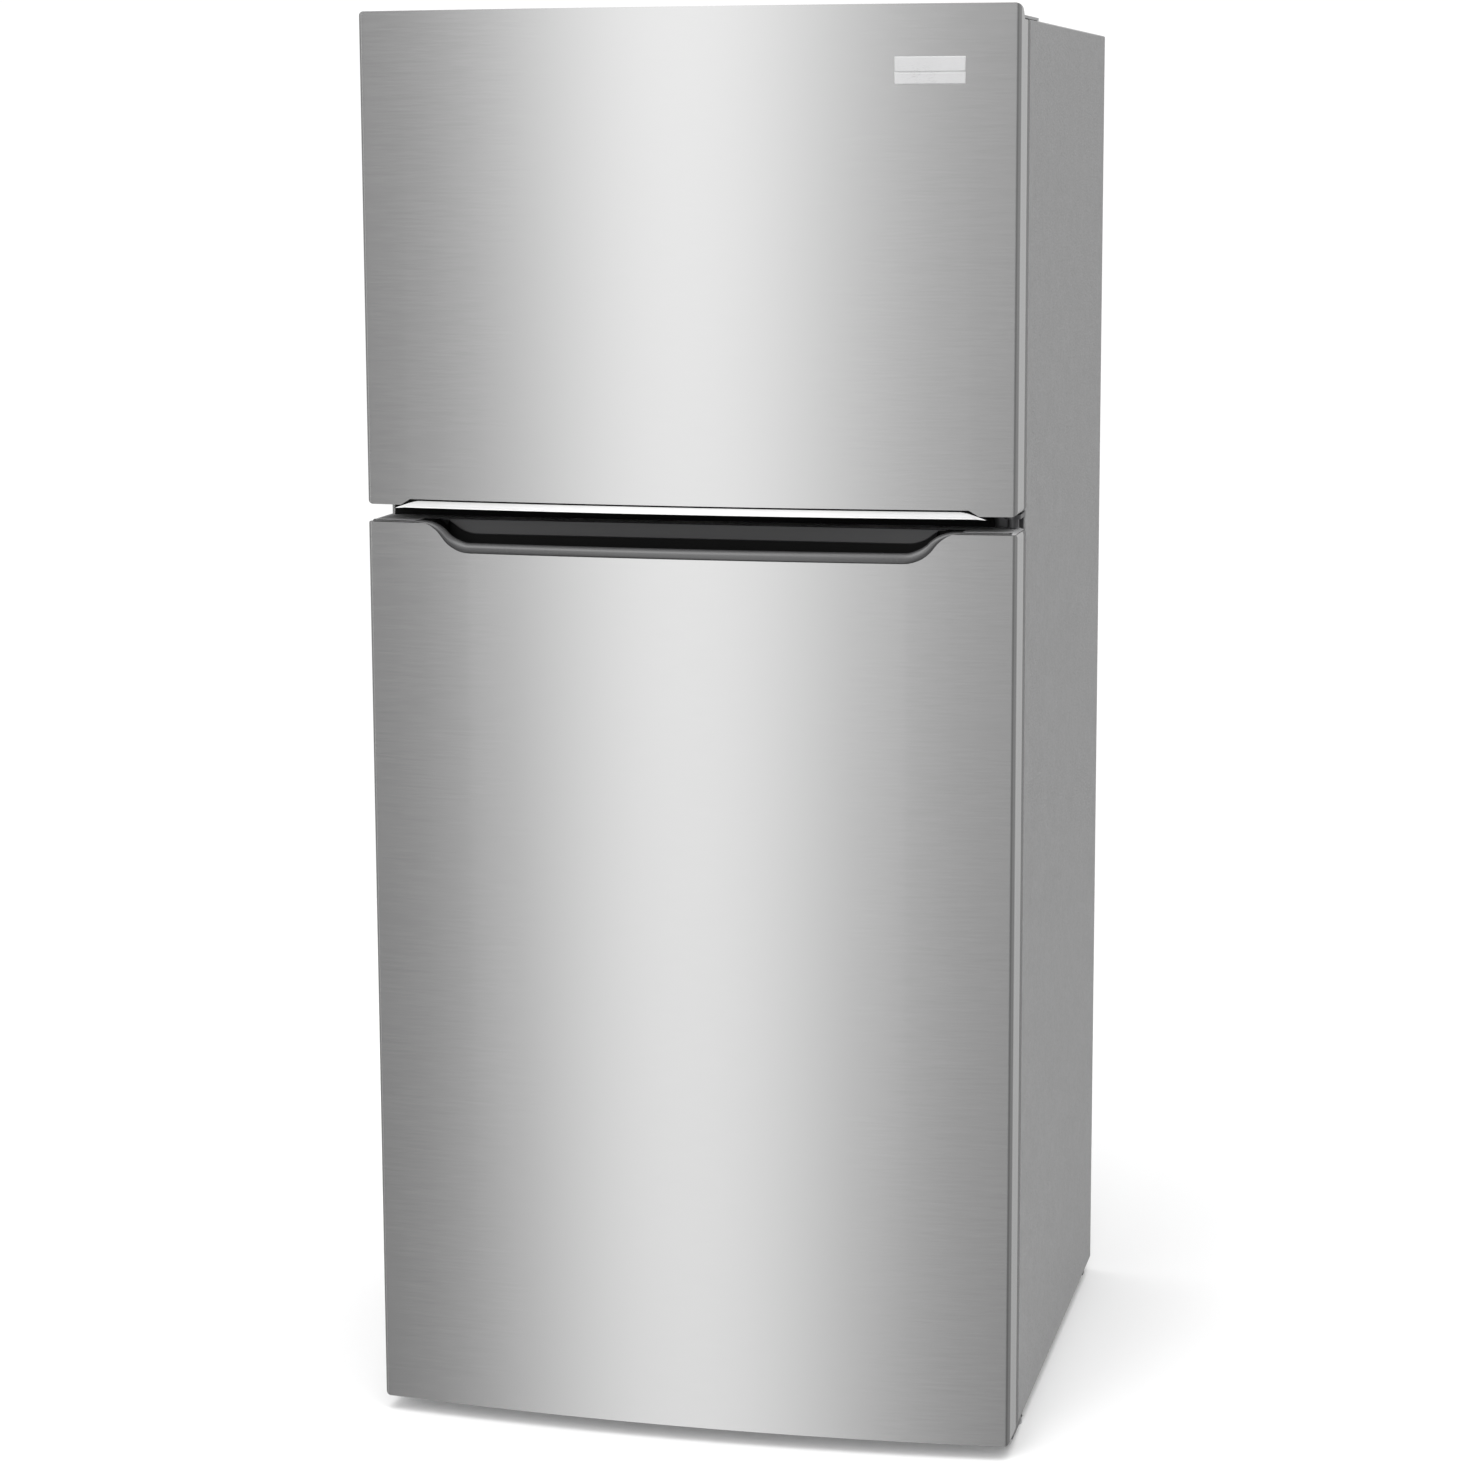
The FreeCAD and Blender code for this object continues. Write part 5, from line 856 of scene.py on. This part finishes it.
def screw_head(x, y, z):
    """Pan head with a six-cornered socket, facing the back."""
    rings = [turned(x, y + SCREW_HEIGHT * rise, z, [SCREW_RADIUS * share] * SCREW_STEPS)
             for share, rise in ((1.0, 0.0), (1.0, 0.35), (0.86, 0.72), (0.62, 0.94), (0.5, 1.0))]
    side = math.tau / 6
    offs = [math.tau * step / SCREW_STEPS % side - side / 2 for step in range(SCREW_STEPS)]
    socket = [SCREW_RADIUS * (SOCKET / math.cos(off)) for off in offs]
    rings += [turned(x, y + SCREW_HEIGHT * rise, z, socket) for rise in (0.97, 0.35)]
    return loft(rings)


def make_back_screws():
    """Screws along the rear sheet's sides and top."""
    low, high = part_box("back_panel")
    top = high.z - SCREW_INSET
    places = [(side * (high.x - SCREW_INSET), z) for side in (-1, 1)
              for z in spread(low.z + 0.03, top, 5)]
    places += [(x, top) for x in spread(low.x + 0.12, high.x - 0.12, 3)]
    heads = [screw_head(x, high.y, z) for x, z in places]
    mesh_piece("rear_screws", join(*heads), "screw_steel", "cabinet")


HOOD_TALL = 0.0082          # hood over the top hinge
HOOD_RADIUS = 0.007
HOOD_SHOULDER = 0.004


def make_hood():
    """Low hood over the top hinge's screws, with rounded shoulders."""
    low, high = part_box("top_hinge_cover")
    plan = (low.x, high.x, low.y, high.y)
    steps = [(0.0, 0.0), (0.0, 0.0004), (0.0003, 0.0009)]
    steps += [(0.0003 + HOOD_SHOULDER * (1 - c), 0.0009 + (HOOD_TALL - 0.0015) * s)
              for c, s in arc(15, 75, 5)]
    steps += [(0.0075, HOOD_TALL - 0.0003), (0.0115, HOOD_TALL)]
    rings = [plan_ring(plan, (HOOD_RADIUS, HOOD_RADIUS), inset, low.z + rise) for inset, rise in steps]
    mesh_piece("hinge_hood", loft(rings), "grey_cap", "cabinet", ["top_hinge_cover"])


# -------------------------------- moulded tubs

TUB_WALL = 0.0025
EDGE = 0.0009               # softening of a tub's rim
BAND = 0.34                 # part of a tub's height above the step in its walls
BAND_STEP = 0.55            # where the step starts, as a part of the draft
RIM = 0.0035                # how far a tub's rim stands out
RIM_DROP = 0.008            # height of the rim's fold
BIN_RADII = (0.010, 0.022)  # corners of a door bin at the door and away from it
TUB_RADII = (0.006, 0.014)  # corners of a drawer at its front and rear
TUB_SOFT = 0.007            # turn from walls to floor
TUB_DRAFT = 0.003
RIB_SIDE = 0.030            # ends of the floor's ribs, from the tub's walls
RIB_SINK = 0.0004           # their feet below the floor
FREEZER_BIN_HEIGHT = 0.092
LOW_BIN_HEIGHT = 0.150
FRIDGE_BIN_HEIGHT = 0.105
FACE_THICK = 0.008
FACE_RADIUS = 0.005
FACE_BORDER = 0.011         # raised edge of a drawer's front
FACE_SINK = 0.0012
GRIP_REACH = 0.014
GRIP_HEIGHT = 0.016
GRIP_WALL = 0.003
CRISPER_GRIP_MARGIN = 0.040
DELI_RADII = (0.004, 0.016)
DELI_RIM = 0.009
DELI_GRIP_HALF = 0.140


def tub(plan, radii, z0, z1, rim=RIM, drop=RIM_DROP):
    """Tub with tapered walls, a soft turn to its floor, a step in its walls and a folded rim."""
    turn = [(rim + TUB_DRAFT + TUB_SOFT * (1 - s), z0 + TUB_SOFT * (1 - c)) for c, s in arc(0, 90, 5)]
    band = z1 - BAND * (z1 - z0)
    across = rim + BAND_STEP * TUB_DRAFT
    steps = turn + [(across + EDGE, band - 0.0015), (across, band + 0.0015), (rim, z1 - drop),
                    (EDGE, z1 - drop), (0.0, z1 - drop + EDGE), (0.0, z1 - EDGE), (EDGE, z1),
                    (rim + TUB_WALL - EDGE, z1), (rim + TUB_WALL, z1 - EDGE)]
    steps += [(inset + TUB_WALL, z + TUB_WALL) for inset, z in reversed(turn)]
    return loft([plan_ring(plan, radii, inset, z) for inset, z in steps])


def ridge(plan, z0, z1, soft=0.0007):
    """Small raised bar with a softened top."""
    return loft([plan_ring(plan, (soft, soft), inset, z, 3)
                 for inset, z in ((0.0, z0), (0.0, z1 - soft), (soft * 0.8, z1))])


def door_bin(reach, y0, y1, z0, z1):
    """Bin with ribs on its floor and lugs at its ends."""
    shapes = [tub((-reach, reach, y0, y1), BIN_RADII, z0, z1)]
    floor = z0 + TUB_WALL
    for y in spread(y0 + 0.026, y1 - 0.030, 4):
        plan = (-reach + RIB_SIDE, reach - RIB_SIDE, y - 0.0012, y + 0.0012)
        shapes.append(ridge(plan, floor - RIB_SINK, floor + 0.0016))
    for side in (-1, 1):
        x0, x1 = sorted((side * (reach - RIM - 0.001), side * (reach - 0.0008)))
        for y in (y0 + 0.022, y0 + 0.050):
            shapes.append(ridge((x0, x1, y - 0.003, y + 0.003), z0 + 0.030, z1 - RIM_DROP + 0.001))
    return shapes


def make_bins():
    """Two bins in the upper door and three in the lower one, whose upper gaps are alike."""
    freezer_low, freezer_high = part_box("freezer_door_bins")
    low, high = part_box("fridge_door_bins")
    middle = high.z - FRIDGE_BIN_HEIGHT - (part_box("dairy_housing")[0].z - high.z)
    levels = {"freezer": ((freezer_low.z, freezer_low.z + FREEZER_BIN_HEIGHT),
                          (freezer_high.z - FREEZER_BIN_HEIGHT, freezer_high.z)),
              "fridge": ((low.z, low.z + LOW_BIN_HEIGHT), (middle - FRIDGE_BIN_HEIGHT, middle),
                         (high.z - FRIDGE_BIN_HEIGHT, high.z))}
    for name, heights in levels.items():
        door = name + "_door"
        low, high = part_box(door + "_bins")
        shapes = [shape for z0, z1 in heights for shape in door_bin(high.x, low.y, high.y, z0, z1)]
        mesh_piece(name + "_bins", join(*shapes), "clear_plastic", door, [door + "_bins"])


def face_panel(x0, x1, z0, z1, front):
    """Drawer front with a raised border and softened edges."""
    steps = ((0.0, front + FACE_THICK), (0.0, front + 0.0018), (0.0005, front + 0.0006),
             (0.0018, front), (FACE_BORDER, front), (FACE_BORDER + 0.0014, front + FACE_SINK))
    return loft(standing_rings((x0, x1, z0, z1), FACE_RADIUS, steps))


def grip(x0, x1, face, top):
    """Hooked grip along a drawer's top edge."""
    soft = 0.005
    outline = [(0.0006, 0.0)]
    outline += [(-GRIP_REACH + soft * (1 - s), -soft * (1 - c)) for c, s in arc(0, 90, 6)]
    outline += [(-GRIP_REACH, -GRIP_HEIGHT + 0.001), (-GRIP_REACH + 0.001, -GRIP_HEIGHT),
                (-GRIP_REACH + GRIP_WALL, -GRIP_HEIGHT + 0.0006)]
    inner = soft - GRIP_WALL * 0.5
    outline += [(-GRIP_REACH + GRIP_WALL + inner * (1 - s), -GRIP_WALL - inner * (1 - c))
                for c, s in arc(90, 0, 5)]
    outline.append((0.0006, -GRIP_WALL))
    rings = []
    for x, share in ((x0, 0.86), (x0 + 0.0025, 1.0), (x1 - 0.0025, 1.0), (x1, 0.86)):
        rings.append([(x, face + y * share, top + z * share) for y, z in outline])
    return loft(rings)


def make_drawers():
    """Two crispers and the full-width drawer, each a tub with a front and a white grip."""
    for name in ("crisper_left", "crisper_right"):
        low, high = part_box(name)
        front = low.y + GRIP_REACH
        floor = low.z + TUB_WALL
        shapes = [tub((low.x, high.x, front + FACE_THICK - 0.0045, high.y), TUB_RADII, low.z, high.z),
                  face_panel(low.x, high.x, low.z, high.z - 0.0004, front)]
        for x in spread(low.x + 0.050, high.x - 0.050, 5):
            plan = (x - 0.0015, x + 0.0015, front + RIB_SIDE, high.y - RIB_SIDE)
            shapes.append(ridge(plan, floor - RIB_SINK, floor + 0.0018))
        mesh_piece(name + "_tub", join(*shapes), "clear_plastic", name, [name])
        bar = grip(low.x + CRISPER_GRIP_MARGIN, high.x - CRISPER_GRIP_MARGIN, front, high.z)
        mesh_piece(name + "_grip", bar, "white_plastic", name)
    low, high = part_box("deli_drawer")
    front = low.y + GRIP_REACH
    half = high.x - DELI_RIM
    shapes = [tub((low.x, high.x, front + FACE_THICK - 0.0085, high.y), DELI_RADII, low.z, high.z,
                  rim=DELI_RIM, drop=0.002),
              face_panel(-half, half, low.z, high.z - 0.0024, front)]
    mesh_piece("deli_tub", join(*shapes), "clear_plastic", "deli_drawer", ["deli_drawer"])
    bar = grip(-DELI_GRIP_HALF, DELI_GRIP_HALF, front, high.z)
    mesh_piece("deli_grip", bar, "white_plastic", "deli_drawer")


# -------------------------------- door liners

CORE_INSET = 0.006          # doors' sides to their foam
RIDGE_WIDTH = 0.034
RIDGE_GAP = 0.016           # compartment's walls to the ridge
RIDGE_RADII = (0.014, 0.006)            # corners of its outer and inner outline
RIDGE_SOFT = 0.0045
LINER_SHEET = 0.002
LINER_RADIUS = 0.004


def make_door_cores():
    """Foam inside the doors, clear of the handle and the hinge pins."""
    for door, below, above in (("freezer_door", 0.034, 0.030), ("fridge_door", 0.030, 0.069)):
        low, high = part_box(door + "_skin")
        plan = (low.x + CORE_INSET, high.x - CORE_INSET, low.y + DOOR_BOW + CORE_INSET, high.y - 0.0025)
        core = ridge(plan, low.z + below, high.z - above, 0.004)
        mesh_piece(door + "_core", core, "insulation", door, [door + "_foam"])


def make_door_liners():
    """Moulded backs of both doors, with the hollow ridge that holds the bins."""
    freezer_low, freezer_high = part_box("evaporator_cover")
    spaces = (("freezer_door", freezer_low.z - 0.001, freezer_high.z + 0.001),
              ("fridge_door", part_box("crisper_left")[0].z - 0.0003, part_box("control_housing")[1].z))
    for door, floor, ceiling in spaces:
        low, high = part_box(door + "_liner")
        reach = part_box(door + "_bins")[1].x + 0.0005
        plate = (low.x, high.x, low.z, high.z)
        outer = (-reach - RIDGE_WIDTH, reach + RIDGE_WIDTH, floor + RIDGE_GAP, ceiling - RIDGE_GAP)
        inner = (-reach, reach, floor + RIDGE_GAP + RIDGE_WIDTH, ceiling - RIDGE_GAP - RIDGE_WIDTH)
        face = low.y + LINER_SHEET
        crest = [(RIDGE_SOFT * (1 - c), high.y - RIDGE_SOFT * (1 - s)) for c, s in arc(0, 90, 6)]
        outwards = [(-0.003 * (1 - s), face + 0.003 * (1 - c)) for c, s in arc(0, 90, 4)]
        outwards += [(0.0005 + inset, y) for inset, y in crest]
        inwards = [(-inset, y) for inset, y in reversed(crest)] + [(0.0, face + 0.0015), (0.0015, face)]
        rings = []
        for plan, radius, steps in (
                (plate, LINER_RADIUS, [(0.0, low.y), (0.0, face - 0.0006), (0.0006, face)]),
                (outer, RIDGE_RADII[0], outwards), (inner, RIDGE_RADII[1], inwards)):
            rings += standing_rings(plan, radius, steps)
        mesh_piece(door + "_inner", loft(rings), "white_liner", door, [door + "_liner"])


# -------------------------------- controls

DIAL_COUNT = 7
DIAL_SPREAD = 128.0         # degrees from the top to the first and last number
DIAL_STEPS = 120
DIAL_NOTCHES = 30
NOTCH_DEPTH = 0.0009
BAR_RADIUS = 0.0045         # corners of the bar across a dial
NUMBER_HEIGHT = 0.0052
NUMBER_RAISED = 0.00015
DIAL_GAP = 0.0009           # dials' rear to just inside the control housing's front
RING_HALF_WIDE = 0.0335     # the numbers stand on an ellipse round the dial
RING_HALF_TALL = 0.0275


def dial_shape(low, high):
    """Knurled knob with a raised bar that points at the numbers."""
    x, z = (low.x + high.x) / 2, (low.z + high.z) / 2
    radius = (high.x - low.x) / 2
    rear, front = high.y, low.y
    middle = (rear + front) / 2
    notch = DIAL_NOTCHES * math.tau / DIAL_STEPS
    dents = [0.5 - 0.5 * math.cos(notch * step) for step in range(DIAL_STEPS)]
    rings = []
    for y, size, knurl in ((rear, 0.97, 0.0), (rear - 0.0006, 1.0, 1.0), (middle + 0.0012, 1.0, 1.0),
                           (middle, 0.965, 0.4), (middle - 0.0002, 0.90, 0.0),
                           (middle + 0.0008, 0.86, 0.0)):
        rings.append(turned(x, y, z, [radius * size - NOTCH_DEPTH * knurl * dent for dent in dents]))
    half_wide, half_tall = 0.005, radius - 0.001
    plan = (x - half_wide, x + half_wide, z - half_tall, z + half_tall)
    steps = ((0.0, middle + 0.0006), (0.0006, front + 0.0018), (0.0012, front + 0.0004),
             (0.0022, front))
    return join(loft(rings), loft(standing_rings(plan, BAR_RADIUS, steps))), x, z


def text_mesh(words, size):
    """Raised lettering as points and faces, centred on the origin and facing the viewer."""
    curve = bpy.data.curves.new("lettering", "FONT")
    curve.body = words
    curve.size = size
    curve.align_x = curve.align_y = "CENTER"
    curve.extrude = NUMBER_RAISED
    holder = bpy.data.objects.new("lettering", curve)
    mesh = bpy.data.meshes.new_from_object(holder)
    points = [(p.co.x, -p.co.z, p.co.y) for p in mesh.vertices]
    faces = [list(face.vertices) for face in mesh.polygons]
    bpy.data.objects.remove(holder)
    bpy.data.curves.remove(curve)
    bpy.data.meshes.remove(mesh)
    return points, faces


def make_dials():
    """Both dials, the numbers round them and a pointer line on each."""
    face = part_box("fridge_dial")[1].y + DIAL_GAP
    marks = []
    for name in ("fridge_dial", "freezer_dial"):
        low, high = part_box(name)
        shape, x, z = dial_shape(low, high)
        mesh_piece(name + "_knob", shape, "dial_grey", name, [name])
        plan = (x - 0.0009, x + 0.0009, z + 0.008, z + (high.x - low.x) / 2 - 0.003)
        points, faces = ridge(plan, 0.0, 0.0004, 0.0001)
        points = [(px, low.y + 0.0002 - pz, py) for px, py, pz in points]
        mesh_piece(name + "_pointer", (points, faces), "print_grey", name)
        for number in range(DIAL_COUNT):
            turn = math.radians(-DIAL_SPREAD + 2 * DIAL_SPREAD * number / (DIAL_COUNT - 1))
            points, faces = text_mesh(str(number + 1), NUMBER_HEIGHT)
            right, up = x + RING_HALF_WIDE * math.sin(turn), z + RING_HALF_TALL * math.cos(turn)
            marks.append(([(px + right, py + face, pz + up) for px, py, pz in points], faces))
    mesh_piece("dial_numbers", join(*marks), "print_grey", "cabinet")


# -------------------------------- scene

make_world()
make_floor()
make_lamps()
make_camera()
finishes = make_finishes()
paint_cad_nodes(finishes)
make_lip()
make_door_cap()
make_pocket()
make_panel()
make_grip_bar()
make_gap_shade_rib()
make_plate()
make_seals()
make_back_panel()
make_back_screws()
make_hood()
make_bins()
make_drawers()
make_door_cores()
make_door_liners()
make_dials()
bpy.context.scene.view_settings.view_transform = "Standard"
